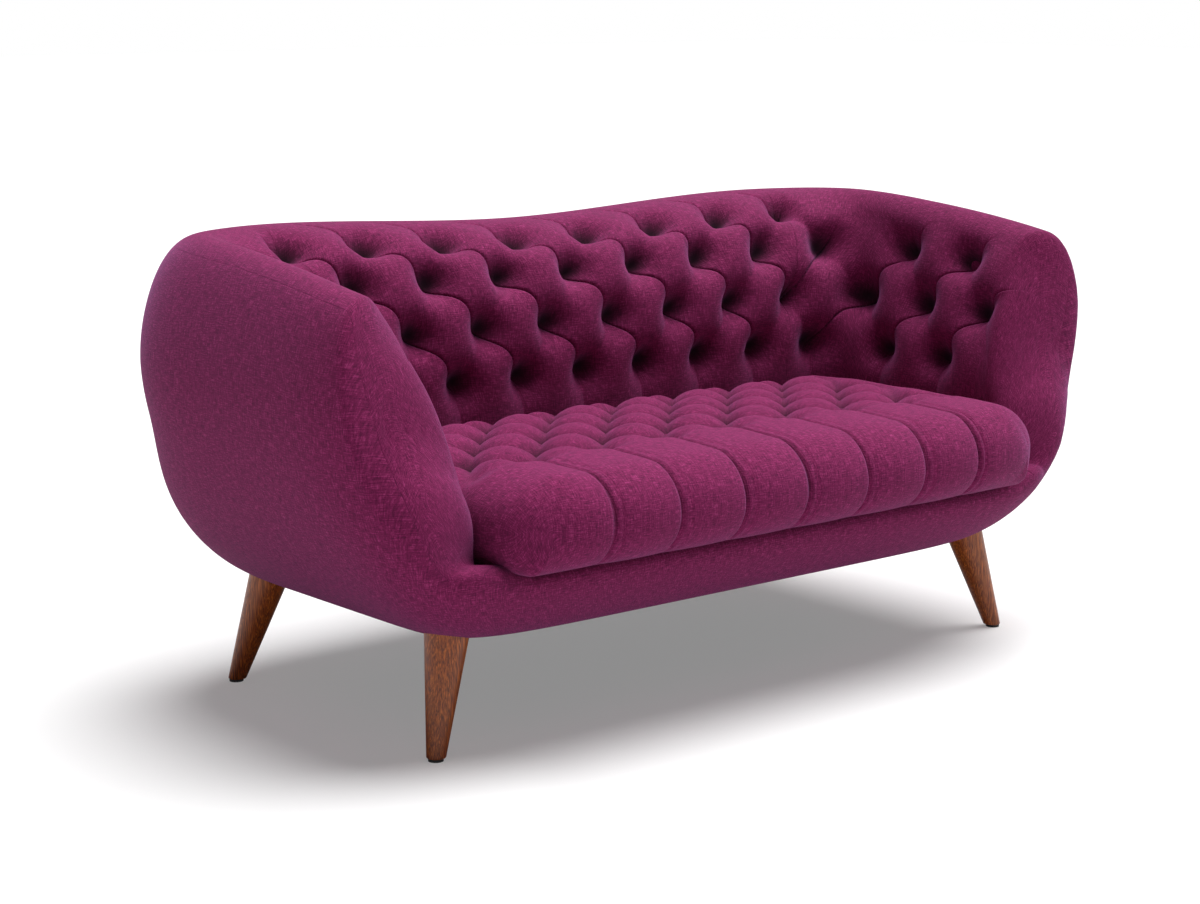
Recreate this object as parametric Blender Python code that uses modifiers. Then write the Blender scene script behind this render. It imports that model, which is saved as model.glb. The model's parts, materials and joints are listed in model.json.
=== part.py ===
"""Tufted two-seat tub sofa, in metres, +Z up, front towards -Y, standing on its four feet.

The body is an egg-shaped tub. Every surface of it comes from one cross-section, which runs from the
underside up the outside, over the padded rim and down the inside, and is swept round the plan.
psi is the angle round the plan, 0 at the right arm and growing towards the back.
v is the place along the cross-section: 0 to 1 is the outside, 1 to 2 the rim, 2 to 3 the inside.
"""
import math

import bmesh
import bpy
import numpy as np

# Gap left between pieces that touch, and the overrun of a cutter
TOUCH_GAP = 0.0003
CUT_OVERRUN = 0.004

# The outside of the tub
HALF_WIDTH = 0.785
FRONT_REACH = 0.420
BACK_REACH = 0.450
UNDERSIDE_Z = 0.165
BASE_INSET = 0.237
BASE_HALF_WIDTH = HALF_WIDTH - BASE_INSET
BASE_FRONT_REACH = 0.272
BASE_BACK_REACH = 0.338
BELLY_Z = 0.535
FRONT_BELLY_Z = 0.385
BACK_BELLY_Z = 0.500
SIDE_TUCK = 0.065
FRONT_LEAN = 0.085
BACK_TUCK = 0.030
UPPER_RISE = 0.200
LEAN_RISE = 0.300
SIDE_ROUNDNESS_SHARE = 1.65
FRONT_ROUNDNESS_SHARE = 1.70
BACK_ROUNDNESS_SHARE = 2.10
SQUARENESS_RISE = 0.290
FRONT_SQUARENESS_LOW_SHARE, FRONT_SQUARENESS_HIGH_SHARE = 8.0, 5.6
BACK_SQUARENESS_LOW_SHARE, BACK_SQUARENESS_HIGH_SHARE = 6.5, 3.8

# The rim
RIM_INSET = 0.085
RIM_HALF_WIDTH = HALF_WIDTH - RIM_INSET
RIM_FRONT_REACH = 0.392
RIM_BACK_REACH = 0.310
RIM_BACK_Z = 0.705
RIM_CORNER_RISE = 0.021
RIM_CORNER_INSET = 0.150
RIM_CORNER_X = RIM_HALF_WIDTH - RIM_CORNER_INSET
ARM_FALL = 0.042
ARM_FALL_START_Y = 0.220
ARM_FALL_LENGTH = 0.420
SWEEP_START_Y = -0.170
SWEEP_LEAD = 0.060
SWEEP_LENGTH = 0.130
LIP_Z = 0.275
LIP_DROP = 0.080
RIM_OUTER_DEPTH = 0.105
BACK_RIM_INNER_DEPTH = 0.060
ARM_RIM_INNER_DEPTH = 0.150
RIM_HANDLE_SHARE = 1.39
RIM_FRONT_SQUARENESS_SHARE, RIM_BACK_SQUARENESS_SHARE = 3.6, 4.5
RIM_OUTER_LIMIT_SHARE = 0.55
ARM_RIM_START_Y = 0.110
ARM_RIM_LENGTH = 0.360
DIP_START_SHARE, DIP_LENGTH_SHARE = 0.55, 0.60
SEAM_SHARE = 1.30
SEAM_GAP_SHARE = 0.004

# The inside
SEAT_LINE_Z = 0.457
ARM_DEPTH = 0.225
INNER_HALF_WIDTH = HALF_WIDTH - ARM_DEPTH
INNER_FLARE_SHARE = 0.40
FLARE_SOFTNESS = 0.060
INNER_BACK_REACH = 0.105
INNER_RECLINE = 0.115
RECLINE_RISE = 0.280
NOSE_INNER_REACH = 0.375
LIP_INNER_REACH = 0.315
NOSE_FOOT_Z = 0.360
WELL_FLOOR_Z = 0.300
LIP_INNER_DEPTH = 0.025
LIP_PAD_FOOT_Z = 0.2478
INNER_FRONT_SQUARENESS_SHARE, INNER_BACK_SQUARENESS_SHARE = 14.0, 6.5

# The upholstery
COVER_THICKNESS = 0.012
PAD_THICKNESS = 0.052
NOSE_PAD_THICKNESS = 0.012
COVER_TURN_UNDER = 0.036
TUFT_COLUMNS_SHARE = 7.5912
TUFT_COLUMN = (INNER_HALF_WIDTH + INNER_BACK_REACH + NOSE_INNER_REACH) / TUFT_COLUMNS_SHARE
TUFT_ROW = 0.089
TUFT_ROW_Z = 0.547
TUFT_DEPTH = 0.036
PLEAT_DEPTH = 0.015
TUFT_RADIUS = 0.022
PAD_JOINT_GAP = 0.0003
PILLOW_SHARE = 0.7
CORNER_TUFT_SHARE = 3.55
TOP_TUFT_ROW_SHARE = 2.05
LOW_TUFT_ROW_SHARE = -1.35
LAST_TUFT_SHARE = 6.60
TUFT_FADE_SHARE = 0.35
PAD_EASE_SHARES = (6.5, 7.3)

# The seat cushion
CUSHION_SIDE_GAP = 0.005
CUSHION_HALF_WIDTH = INNER_HALF_WIDTH - CUSHION_SIDE_GAP
CUSHION_FRONT_REACH = 0.450
CUSHION_BACK_REACH = 0.097
CUSHION_HEIGHT = 0.142
CUSHION_CROWN = 0.012
CUSHION_BAND = 0.010
CUSHION_SQUARENESS_SHARE = 5.0
CUSHION_NOSE_RADIUS = 0.074
CUSHION_SIDE_RADIUS = 0.045
CUSHION_BACK_RADIUS = 0.038
CUSHION_WAIST_SHARE = 0.48
CUSHION_NOSE_SHARES = (0, 0.13, 0.45)
CUSHION_SIDE_SHARES = (0.40, 0.10, 0)
CUSHION_BACK_SHARES = (0.30, 0.06, 0)
CUSHION_COLUMNS_SHARE = 4.3023
CUSHION_TUFT_COLUMN = CUSHION_HALF_WIDTH / CUSHION_COLUMNS_SHARE
CUSHION_TUFT_ROW = 0.070
CUSHION_FIRST_ROW_Y = -0.255
CUSHION_TUFT_DEPTH = 0.017
CUSHION_PLEAT_DEPTH = 0.007
CUSHION_TUFT_RADIUS = 0.020

# The timber base frame
RAIL_THICKNESS = 0.028
RAIL_HEIGHT = 0.070
FRAME_INSET = 0.012
FRAME_HALF_WIDTH = BASE_HALF_WIDTH - FRAME_INSET
FRAME_FRONT_REACH = 0.262
FRAME_BACK_REACH = 0.300
BACK_RAIL_INSET = 0.046
BACK_RAIL_HALF_LENGTH = FRAME_HALF_WIDTH - BACK_RAIL_INSET
BLOCK_INSET, BLOCK_OUTREACH = 0.088, 0.044
BLOCK_INNER_X, BLOCK_OUTER_X = FRAME_HALF_WIDTH - BLOCK_INSET, FRAME_HALF_WIDTH + BLOCK_OUTREACH
BLOCK_INNER_Y = 0.185
BLOCK_OVERHANG = 0.010
EDGE_BREAK = 0.002
BLOCK_HEIGHT = 0.042

# The legs
FOOT_OUTREACH = 0.052
FOOT_X = BASE_HALF_WIDTH + FOOT_OUTREACH
FOOT_Y = 0.273
LEG_LEAN_X_SHARE, LEG_LEAN_Y_SHARE = 0.269, 0.194
LEG_FOOT_RADIUS = 0.0145
LEG_TOP_RADIUS = 0.0365
LEG_HOLE_CLEARANCE = 0.0012
GLIDE_RADIUS = 0.0115
GLIDE_HEIGHT = 0.004
PLATE_RADIUS = 0.030
PLATE_THICKNESS = 0.003
BOLT_RADIUS = 0.004
BOLT_CLEARANCE = 0.0004
BOLT_IN_LEG = 0.045
BOLT_IN_BLOCK = 0.030

# The plywood ribs, rails and lining boards
PLY_THICKNESS = 0.018
RIB_COVER_GAP = 0.015
RIB_FOOT_Z = 0.290
RIB_FOOT_WIDTH = 0.012
RIB_NOTCH = 0.012
RIB_STEPS = 5
TOP_RAIL_Z = 0.560
LINING_THICKNESS = 0.004
LINING_GAP = 0.0008
LINING_FOOT_Z = 0.312
BACK_LINING_TOP_Z = 0.600
ARM_LINING_TOP_Z = 0.515
RAIL_PAD_GAP = 0.008
RIM_FOAM_GAP = 0.012
BACK_RIB_SHARES = (-0.72, -0.26, 0.26, 0.72)
ARM_RIB_YS = (-0.160, 0.045)
LIP_RIB_SHARES = (-0.653, 0, 0.653)
LIP_RAIL_REACH = 0.338
LIP_RAIL_INSET = 0.116
LIP_RAIL_HALF_LENGTH = FRAME_HALF_WIDTH - LIP_RAIL_INSET
LIP_RAIL_WIDTH = 0.020
LIP_RAIL_HEIGHT = 0.018

# The seat suspension
SPRING_WIRE = 0.0038
SPRINGS_PER_SIDE = 3
SPRING_SWING = 0.024
SPRING_CROWN = 0.008
SPRING_END_INSET = 0.008
STRIP_WIDTH = 0.014
STRIP_THICKNESS = 0.0015
DECK_INSET = 0.036
DECK_HALF_WIDTH = FRAME_HALF_WIDTH - DECK_INSET
SPRING_SPACING_SHARE = 0.264
SPRING_SPACING = SPRING_SPACING_SHARE * DECK_HALF_WIDTH
DECK_THICKNESS = 0.019
DECK_FRONT_REACH = 0.285
DECK_BACK_REACH = 0.120
DECK_CORNER = 0.040
DECK_CORNER_STEPS = 4
SPRING_TURNS = 7
SPRING_TURN_SHARE = 0.85
DUST_COVER_THICKNESS = 0.0015
DUST_COVER_GAP = 0.0012

# How finely the curved pieces are cut
COLUMNS_PER_TUFT = 4
CORNER_EXTRA_COLUMNS = (17, 20)
CORNER_COLUMNS = 14
LINING_CORNER_COLUMNS = 13
ARM_RAIL_COLUMNS = 28
TUFTED_COLUMNS = 26
NOSE_COLUMNS = 9
NOSE_COLUMN_SHARE = 0.60
LIP_COLUMNS = 6
OUTSIDE_ROW_SHARES = (0.0, 0.06, 0.16, 0.32, 0.50, 0.68, 0.85, 1.0)
RIM_OUTER_ROW_SHARES = (1.15, SEAM_SHARE)
TUFT_ROW_STEPS = (2.5, 2, 1.5, 1, 0.5, 0, -0.5, -1, -1.5)
RIM_ROW_SHARES = (1.0, 0.66, 0.33)
FOOT_ROW_SHARES = (0.5, 0)
FOAM_ROW_SHARES = (1.08, 1.22, 1.36, 1.48, 1.58)
FINE_STEPS = 6001
RIM_STEPS = 41
SURFACE_STEP = 0.0015
SLOPE_SHARE = 0.0015
LEG_SIDES = 16
BOLT_SIDES = 8


def smooth(share):
    """Ease from 0 to 1"""
    share = np.clip(share, 0, 1)
    return share * share * (3 - 2 * share)


def swell(share, roundness):
    """The outline of a rounded quarter, from 0 at the foot to 1 at the belly"""
    share = np.clip(share, 0, 1)
    return (1 - (1 - share) ** roundness) ** (1 / roundness)


def ring(psi, half_width, front, back, front_squareness, back_squareness):
    """A rounded rectangle in plan, with its own depth and squareness at the front and at the back"""
    front_share = 0.5 - 0.5 * np.tanh(np.sin(psi) / 0.35)
    power = back_squareness + (front_squareness - back_squareness) * front_share
    size = (np.abs(np.cos(psi)) ** power + np.abs(np.sin(psi)) ** power) ** (-1 / power)
    x = half_width * size * np.cos(psi)
    y = np.where(np.sin(psi) < 0, front, back) * size * np.sin(psi)
    return x, y


def outside_sizes(z):
    """Half width, front reach and back reach of the tub's outside at height z"""
    height = z - UNDERSIDE_Z
    tuck = np.clip((z - BELLY_Z) / UPPER_RISE, 0, 1.2) ** 2
    lean = np.clip((z - FRONT_BELLY_Z) / LEAN_RISE, 0, 1.2) ** 1.6
    half = BASE_HALF_WIDTH + (HALF_WIDTH - BASE_HALF_WIDTH) * swell(
        height / (BELLY_Z - UNDERSIDE_Z), SIDE_ROUNDNESS_SHARE) - SIDE_TUCK * tuck
    front = BASE_FRONT_REACH + (FRONT_REACH - BASE_FRONT_REACH) * swell(
        height / (FRONT_BELLY_Z - UNDERSIDE_Z), FRONT_ROUNDNESS_SHARE) + FRONT_LEAN * lean
    back = BASE_BACK_REACH + (BACK_REACH - BASE_BACK_REACH) * swell(
        height / (BACK_BELLY_Z - UNDERSIDE_Z), BACK_ROUNDNESS_SHARE) - BACK_TUCK * tuck
    return half, front, back


def outside_squareness(z):
    """Squareness of the outside's plan at the front and at the back, at height z"""
    share = smooth((z - UNDERSIDE_Z) / SQUARENESS_RISE)
    front = FRONT_SQUARENESS_LOW_SHARE + (FRONT_SQUARENESS_HIGH_SHARE - FRONT_SQUARENESS_LOW_SHARE) * share
    back = BACK_SQUARENESS_LOW_SHARE + (BACK_SQUARENESS_HIGH_SHARE - BACK_SQUARENESS_LOW_SHARE) * share
    return front, back


def outside(psi, z):
    """A point of the tub's outside, as an array of x, y, z rows"""
    half, front, back = outside_sizes(z)
    front_squareness, back_squareness = outside_squareness(z)
    x, y = ring(psi, half, front, back, front_squareness, back_squareness)
    return np.stack([x, y, z + 0 * psi], -1)


def rim_plan(psi):
    """Where the top of the rim runs in plan"""
    return ring(psi, RIM_HALF_WIDTH, RIM_FRONT_REACH, RIM_BACK_REACH,
                RIM_FRONT_SQUARENESS_SHARE, RIM_BACK_SQUARENESS_SHARE)


def rim_height(psi):
    """Height of the rim: a shallow dip at the back, level arms, and a sweep down to the front lip"""
    x, y = rim_plan(psi)
    corner_z = RIM_BACK_Z + RIM_CORNER_RISE
    back = RIM_BACK_Z + RIM_CORNER_RISE * smooth(np.abs(x) / RIM_CORNER_X)
    arm = corner_z - ARM_FALL * (np.maximum(ARM_FALL_START_Y - y, 0) / ARM_FALL_LENGTH) ** 2
    top = arm + (back - arm) * smooth((y / ARM_FALL_START_Y - DIP_START_SHARE) / DIP_LENGTH_SHARE)
    run = np.hypot(np.maximum(RIM_HALF_WIDTH - np.abs(x), 0), np.maximum(SWEEP_START_Y - y, 0))
    run = np.where(y < SWEEP_START_Y, run, 0)
    return top + (LIP_Z - top) * smooth((run - SWEEP_LEAD) / SWEEP_LENGTH)


def arm_share(psi):
    """0 along the back, 1 along the arms and the front"""
    return smooth((ARM_RIM_START_Y - rim_plan(psi)[1]) / ARM_RIM_LENGTH)


def lip_share(psi):
    """0 along the back and arms, 1 where the rim has swept down to the front lip"""
    return smooth((RIM_BACK_Z - LIP_DROP - rim_height(psi)) / (RIM_BACK_Z - LIP_DROP - LIP_Z))


def inside(psi, z):
    """A point of the inside wall, which reclines at the back and flares at the arms"""
    above = z - SEAT_LINE_Z
    above = (above + np.hypot(above, FLARE_SOFTNESS)) / 2
    half = INNER_HALF_WIDTH + INNER_FLARE_SHARE * above
    back = INNER_BACK_REACH + INNER_RECLINE * (above / RECLINE_RISE) ** 3
    front_share = smooth((z - LIP_PAD_FOOT_Z) / (NOSE_FOOT_Z - LIP_PAD_FOOT_Z))
    front = LIP_INNER_REACH + (NOSE_INNER_REACH - LIP_INNER_REACH) * front_share
    x, y = ring(psi, half, front, back, INNER_FRONT_SQUARENESS_SHARE, INNER_BACK_SQUARENESS_SHARE)
    return np.stack([x, y, z + 0 * psi], -1)


def rim_ends(psi):
    """Heights at which the rim's roll leaves the outside and reaches the inside wall"""
    top = rim_height(psi)
    outer = top - np.minimum(RIM_OUTER_DEPTH, RIM_OUTER_LIMIT_SHARE * (top - UNDERSIDE_Z))
    depth = BACK_RIM_INNER_DEPTH + (ARM_RIM_INNER_DEPTH - BACK_RIM_INNER_DEPTH) * arm_share(psi)
    depth = depth + (LIP_INNER_DEPTH - depth) * lip_share(psi)
    return outer, top - depth


def inside_foot(psi):
    """Height of the lower edge of the inside padding"""
    return WELL_FLOOR_Z + (LIP_PAD_FOOT_Z - WELL_FLOOR_Z) * lip_share(psi)


def surface(psi, v):
    """Points of the tub's surface, at the places v along the cross-sections at psi"""
    top = rim_height(psi)
    outer_z, inner_z = rim_ends(psi)
    low = outside(psi, UNDERSIDE_Z + (outer_z - UNDERSIDE_Z) * np.clip(v, 0, 1) ** 1.35)
    wall = inside(psi, inner_z + (inside_foot(psi) - inner_z) * np.clip(v - 2, 0, 1))
    start, end = outside(psi, outer_z), inside(psi, inner_z)
    out_slope = (outside(psi, outer_z + SURFACE_STEP) - start) / SURFACE_STEP
    in_slope = (inside(psi, inner_z + SURFACE_STEP) - end) / SURFACE_STEP
    out_handle = start + out_slope * (RIM_HANDLE_SHARE * (top - outer_z))[:, None]
    in_handle = end + in_slope * (RIM_HANDLE_SHARE * (top - inner_z))[:, None]
    t = np.clip(v - 1, 0, 1)[:, None]
    roll = ((1 - t) ** 3 * start + 3 * t * (1 - t) ** 2 * out_handle
            + 3 * t * t * (1 - t) * in_handle + t ** 3 * end)
    place = v[:, None]
    return np.where(place <= 1, low, np.where(place >= 2, wall, roll))


def surface_normals(psi, v):
    """Unit normals of the surface, pointing away from the padding"""
    low, high = np.maximum(v - SLOPE_SHARE, 0), np.minimum(v + SLOPE_SHARE, 3)
    along = surface(psi, high) - surface(psi, low)
    around = surface(psi + SLOPE_SHARE, v) - surface(psi - SLOPE_SHARE, v)
    normal = np.cross(around, along)
    return normal / np.linalg.norm(normal, axis=1)[:, None]


def tuft_line():
    """Angles round the plan, and the distance of each along the inside wall from the middle of the back"""
    fine = np.linspace(-math.pi / 2, math.pi * 1.5, FINE_STEPS)
    wall = inside(fine, np.full_like(fine, TUFT_ROW_Z))
    run = np.concatenate([[0], np.cumsum(np.hypot(np.diff(wall[:, 0]), np.diff(wall[:, 1])))])
    return fine, run - np.interp(math.pi / 2, fine, run)


def stations():
    """Angles psi of the columns that every swept piece shares, and their tuft distances, right positive"""
    fine, run = tuft_line()
    step = TUFT_COLUMN / COLUMNS_PER_TUFT
    tufted = step * np.arange(TUFTED_COLUMNS + 1)
    first, last = CORNER_EXTRA_COLUMNS
    extra = step * (np.arange(first, last) + 0.5)
    nose = tufted[-1] + step * NOSE_COLUMN_SHARE * np.arange(1, NOSE_COLUMNS + 1)
    right = np.interp(-np.sort(np.concatenate([tufted, extra, nose])), run, fine)
    half = np.concatenate([right, np.linspace(right[-1], -math.pi / 2, LIP_COLUMNS + 1)[1:]])
    psi = np.concatenate([half[::-1], math.pi - half[1:-1]])
    return psi, -np.interp(psi, fine, run)


def wall_runs(psi):
    """For each psi, how far up the inside wall and over the rim each place v lies, as a height"""
    places = np.linspace(1, 2, RIM_STEPS)
    _, inner_z = rim_ends(psi)
    points = np.array([surface(psi, np.full_like(psi, v)) for v in places])
    steps = np.linalg.norm(np.diff(points, axis=0), axis=2)
    height = inner_z + np.concatenate([np.cumsum(steps[::-1], axis=0)[::-1], np.zeros((1, len(psi)))])
    return places, height


def places_at(psi, heights):
    """The places v at which the inside reaches the given heights, measured along the surface"""
    places, height = wall_runs(psi)
    _, inner_z = rim_ends(psi)
    on_rim = np.array([np.interp(-h, -height[:, i], places) for i, h in enumerate(heights)])
    on_wall = 2 + (inner_z - heights) / (inner_z - inside_foot(psi))
    return np.where(heights > inner_z, on_rim, np.minimum(on_wall, 3))


def seam_heights(psi):
    """Height of the pads' edge at the outer seam, measured along the surface as the tuft rows are"""
    places, height = wall_runs(psi)
    edge = SEAM_SHARE + SEAM_GAP_SHARE
    return np.array([np.interp(edge, places, height[:, i]) for i in range(len(psi))])


def pad_rows(psi, run):
    """Heights of the rows of an inside pad at each column, from the outer seam down to the foot"""
    seam = seam_heights(psi)
    foot = inside_foot(psi)
    tuft_rows = TUFT_ROW_Z + TUFT_ROW * np.array(TUFT_ROW_STEPS)
    top_row = tuft_rows[0]
    over = np.array(RIM_ROW_SHARES)[:, None] * (seam - top_row) + top_row
    low = foot + (tuft_rows[-1] - foot) * np.array(FOOT_ROW_SHARES)[:, None]
    rows = np.concatenate([over, np.repeat(tuft_rows[:, None], len(psi), 1), low])
    # Past the last tuft the rows keep their shares of the height, down to the low front lip
    last = np.argmin(np.abs(run - TUFTED_COLUMNS * TUFT_COLUMN / COLUMNS_PER_TUFT))
    shares = ((rows[:, last] - foot[last]) / (seam[last] - foot[last]))[:, None]
    even = np.linspace(1, 0, len(rows))[:, None]
    past = np.abs(run) - np.abs(run[last])
    shares = shares + (even - shares) * smooth(past / TUFT_COLUMN)
    squeezed = foot + (seam - foot) * shares
    past = past > SURFACE_STEP
    return np.where(past, squeezed, rows)


def tuft_relief(run, height):
    """How far the buttoned cover lies below the pad's crown: deep at the tufts, shallow on the pleats"""
    column, row = np.abs(run) / TUFT_COLUMN, (height - TUFT_ROW_Z) / TUFT_ROW
    first, second = column + row / 2 + 0.5, column - row / 2 + 0.5
    crown = np.abs(np.sin(math.pi * first) * np.sin(math.pi * second)) ** PILLOW_SHARE
    near_row = np.round(row)
    near_column = np.round(column - 0.5 - near_row / 2) + 0.5 + near_row / 2
    near = np.hypot((column - near_column) * TUFT_COLUMN, (row - near_row) * TUFT_ROW)
    depth = PLEAT_DEPTH * (1 - crown) + (TUFT_DEPTH - PLEAT_DEPTH) * np.exp(-(near / TUFT_RADIUS) ** 2)
    # The top row of tufts is only on the back
    corner = smooth((column - CORNER_TUFT_SHARE) / TUFT_FADE_SHARE)
    above = 1 - smooth((row - TOP_TUFT_ROW_SHARE + corner) / TUFT_FADE_SHARE)
    below = 1 - smooth((row - LOW_TUFT_ROW_SHARE) / TUFT_FADE_SHARE)
    # Below the last row of tufts upright pleats run down to the seat
    pleat = PLEAT_DEPTH * (1 - np.abs(np.sin(math.pi * column)) ** PILLOW_SHARE)
    kept = 1 - smooth((column - LAST_TUFT_SHARE) / TUFT_FADE_SHARE)
    return -kept * (depth * above * (1 - below) + pleat * below)


def srgb(code):
    """A hex colour as linear values"""
    parts = [int(code[i:i + 2], 16) / 255 for i in (0, 2, 4)]
    return [p / 12.92 if p <= 0.04045 else ((p + 0.055) / 1.055) ** 2.4 for p in parts] + [1]


def material(name, code, roughness, metallic=0.0):
    """A plain Principled material"""
    made = bpy.data.materials.new(name)
    made.use_nodes = True
    shader = made.node_tree.nodes["Principled BSDF"]
    shader.inputs["Base Color"].default_value = srgb(code)
    shader.inputs["Roughness"].default_value = roughness
    shader.inputs["Metallic"].default_value = metallic
    return made


def add_object(name, mesh, finish, where):
    """Put a mesh in a collection under a name, with its material"""
    made = bpy.data.objects.new(name, mesh)
    where.objects.link(made)
    mesh.materials.clear()
    mesh.materials.append(finish)
    return made


def mesh_from(bm, name):
    """Close a bmesh into a mesh with its faces pointing out"""
    bmesh.ops.recalc_face_normals(bm, faces=bm.faces)
    mesh = bpy.data.meshes.new(name)
    bm.to_mesh(mesh)
    bm.free()
    return mesh


def swept_solid(name, outer, inner, finish, where, closed=False):
    """A padded sheet: a grid laid on the outer points, extruded on to the inner points"""
    rows, columns = outer.shape[:2]
    bm = bmesh.new()
    place = bm.verts.layers.int.new("place")
    bmesh.ops.create_grid(bm, x_segments=columns - 1 + closed, y_segments=rows - 1, size=1)
    ordered = sorted(bm.verts, key=lambda vert: (round(vert.co.y * rows * 4), vert.co.x))
    for i, vert in enumerate(ordered):
        row, column = divmod(i, columns + closed)
        vert.co = outer[row, column % columns]
        vert[place] = row * columns + column % columns
    bmesh.ops.remove_doubles(bm, verts=bm.verts, dist=TOUCH_GAP / 10)
    made = bmesh.ops.extrude_face_region(bm, geom=bm.faces[:])
    moved = [item for item in made["geom"] if isinstance(item, bmesh.types.BMVert)]
    for vert in moved:
        vert.co = inner[divmod(vert[place], columns)]
    # Faces are split alike, so that pieces facing each other across a thin gap stay clear
    order = {vert: sum(divmod(vert[place], columns)) for vert in bm.verts}
    order.update({vert: order[vert] + 1 for vert in moved})
    for face in [face for face in bm.faces if len(face.verts) == 4]:
        corners = sorted(face.verts, key=order.get)
        bmesh.utils.face_split(face, corners[0], corners[-1])
    made = add_object(name, mesh_from(bm, name), finish, where)
    made.data.shade_smooth()
    made.data.set_sharp_from_angle(angle=math.radians(50))
    return made


def box(name, low, high, finish, where, edge=0.0):
    """A box between two corners, with its edges broken by a bevel"""
    bm = bmesh.new()
    bmesh.ops.create_cube(bm, size=1)
    low, high = np.array(low), np.array(high)
    for vert in bm.verts:
        vert.co = (low + high) / 2 + np.array(vert.co) * (high - low)
    made = add_object(name, mesh_from(bm, name), finish, where)
    if edge:
        bevel = made.modifiers.new("Broken edges", "BEVEL")
        bevel.width = edge
        bevel.segments = 1
    return made


def flat_board(name, outline, thickness, place, finish, where, holes=()):
    """A board cut to a flat outline; place turns the outline's u, v and the thickness w into x, y, z"""
    curve = bpy.data.curves.new(name, "CURVE")
    curve.dimensions = "2D"
    curve.fill_mode = "BOTH"
    curve.extrude = thickness / 2
    for loop in (outline, *holes):
        spline = curve.splines.new("POLY")
        spline.points.add(len(loop) - 1)
        for point, (u, v) in zip(spline.points, loop):
            point.co = (u, v, 0, 1)
        spline.use_cyclic_u = True
    flat = bpy.data.objects.new(name, curve)
    where.objects.link(flat)
    bpy.context.view_layer.update()
    mesh = bpy.data.meshes.new_from_object(flat.evaluated_get(bpy.context.evaluated_depsgraph_get()))
    bpy.data.objects.remove(flat)
    bm = bmesh.new()
    bm.from_mesh(mesh)
    bmesh.ops.remove_doubles(bm, verts=bm.verts, dist=TOUCH_GAP / 10)
    for vert in bm.verts:
        vert.co = place(*vert.co)
    bm.normal_update()
    return add_object(name, mesh_from(bm, name), finish, where)


def leaning_cone(name, low, high, low_radius, high_radius, sides, finish, where):
    """A round bar with level ends, leaning from the point low to the point high"""
    bm = bmesh.new()
    bmesh.ops.create_cone(bm, cap_ends=True, segments=sides, radius1=low_radius, radius2=high_radius,
                          depth=high[2] - low[2])
    for vert in bm.verts:
        share = vert.co.z / (high[2] - low[2]) + 0.5
        vert.co.x += low[0] + (high[0] - low[0]) * share
        vert.co.y += low[1] + (high[1] - low[1]) * share
        vert.co.z += (low[2] + high[2]) / 2
    made = add_object(name, mesh_from(bm, name), finish, where)
    made.data.shade_smooth()
    made.data.set_sharp_from_angle(angle=math.radians(50))
    return made


def cut(body, cutter):
    """Cut one piece by a cutter"""
    boolean = body.modifiers.new("Hole", "BOOLEAN")
    boolean.operation = "DIFFERENCE"
    boolean.solver = "EXACT"
    boolean.object = cutter


def as_cutter(made):
    """Mark an object as a cutter"""
    made.hide_render = True
    made.display_type = "WIRE"
    return made


for old in list(bpy.data.objects):
    bpy.data.objects.remove(old)

SOFA = bpy.data.collections.new("tufted_sofa")
CUTTERS = bpy.data.collections.new("cutters")
bpy.context.scene.collection.children.link(SOFA)
bpy.context.scene.collection.children.link(CUTTERS)

FABRIC = material("woven_magenta_wool", "7A1B5E", 0.95)
WALNUT = material("oiled_walnut", "6E3F24", 0.45)
BEECH = material("sawn_beech", "C49A6C", 0.7)
PLYWOOD = material("birch_plywood", "D1AE7E", 0.7)
HARDBOARD = material("hardboard", "7B5B3E", 0.8)
FOAM = material("polyurethane_foam", "E6DDB8", 0.9)
STEEL = material("zinc_plated_steel", "9DA1A6", 0.4, 1.0)
SPRING_STEEL = material("black_spring_steel", "2E2E30", 0.45, 1.0)
FELT = material("grey_felt", "6B6B6B", 0.95)
LINING = material("black_lining_cloth", "1C1C1E", 0.9)
NYLON = material("black_nylon", "1A1A1B", 0.5)

FRAME_Z = UNDERSIDE_Z + COVER_THICKNESS + TOUCH_GAP
FRAME_TOP_Z = FRAME_Z + RAIL_HEIGHT
BLOCK_Z = FRAME_TOP_Z - BLOCK_HEIGHT
PSI, RUN = stations()
COLUMNS = len(PSI)
ALL_ROWS = pad_rows(PSI, RUN)
MIDDLE = COLUMNS // 2
DECK_Z = FRAME_TOP_Z + SPRING_WIRE + SPRING_CROWN + 2 * TOUCH_GAP
CUSHION_Z = DECK_Z + DECK_THICKNESS + TOUCH_GAP


def make_cover():
    """The outer cover: wadded fabric from the turned-under edge up to the seam outside the rim"""
    places = [np.full(COLUMNS, v) for v in (*OUTSIDE_ROW_SHARES, *RIM_OUTER_ROW_SHARES)]
    outer = [surface(PSI, v) for v in places]
    inner = [points - surface_normals(PSI, v) * COVER_THICKNESS for points, v in zip(outer, places)]
    # The turned-under edge lies flat under the base frame
    under_x, under_y = ring(PSI, BASE_HALF_WIDTH - COVER_TURN_UNDER, BASE_FRONT_REACH - COVER_TURN_UNDER,
                            BASE_BACK_REACH - COVER_TURN_UNDER, FRONT_SQUARENESS_LOW_SHARE,
                            BACK_SQUARENESS_LOW_SHARE)
    turned = np.stack([under_x, under_y, np.full(COLUMNS, UNDERSIDE_Z)], 1)
    edge = outer[0]
    inner[0] = edge + [0, 0, COVER_THICKNESS]
    outer.insert(0, turned)
    inner.insert(0, turned + [0, 0, COVER_THICKNESS])
    return swept_solid("outer_cover", np.array(outer), np.array(inner), FABRIC, SOFA, closed=True)


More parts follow.
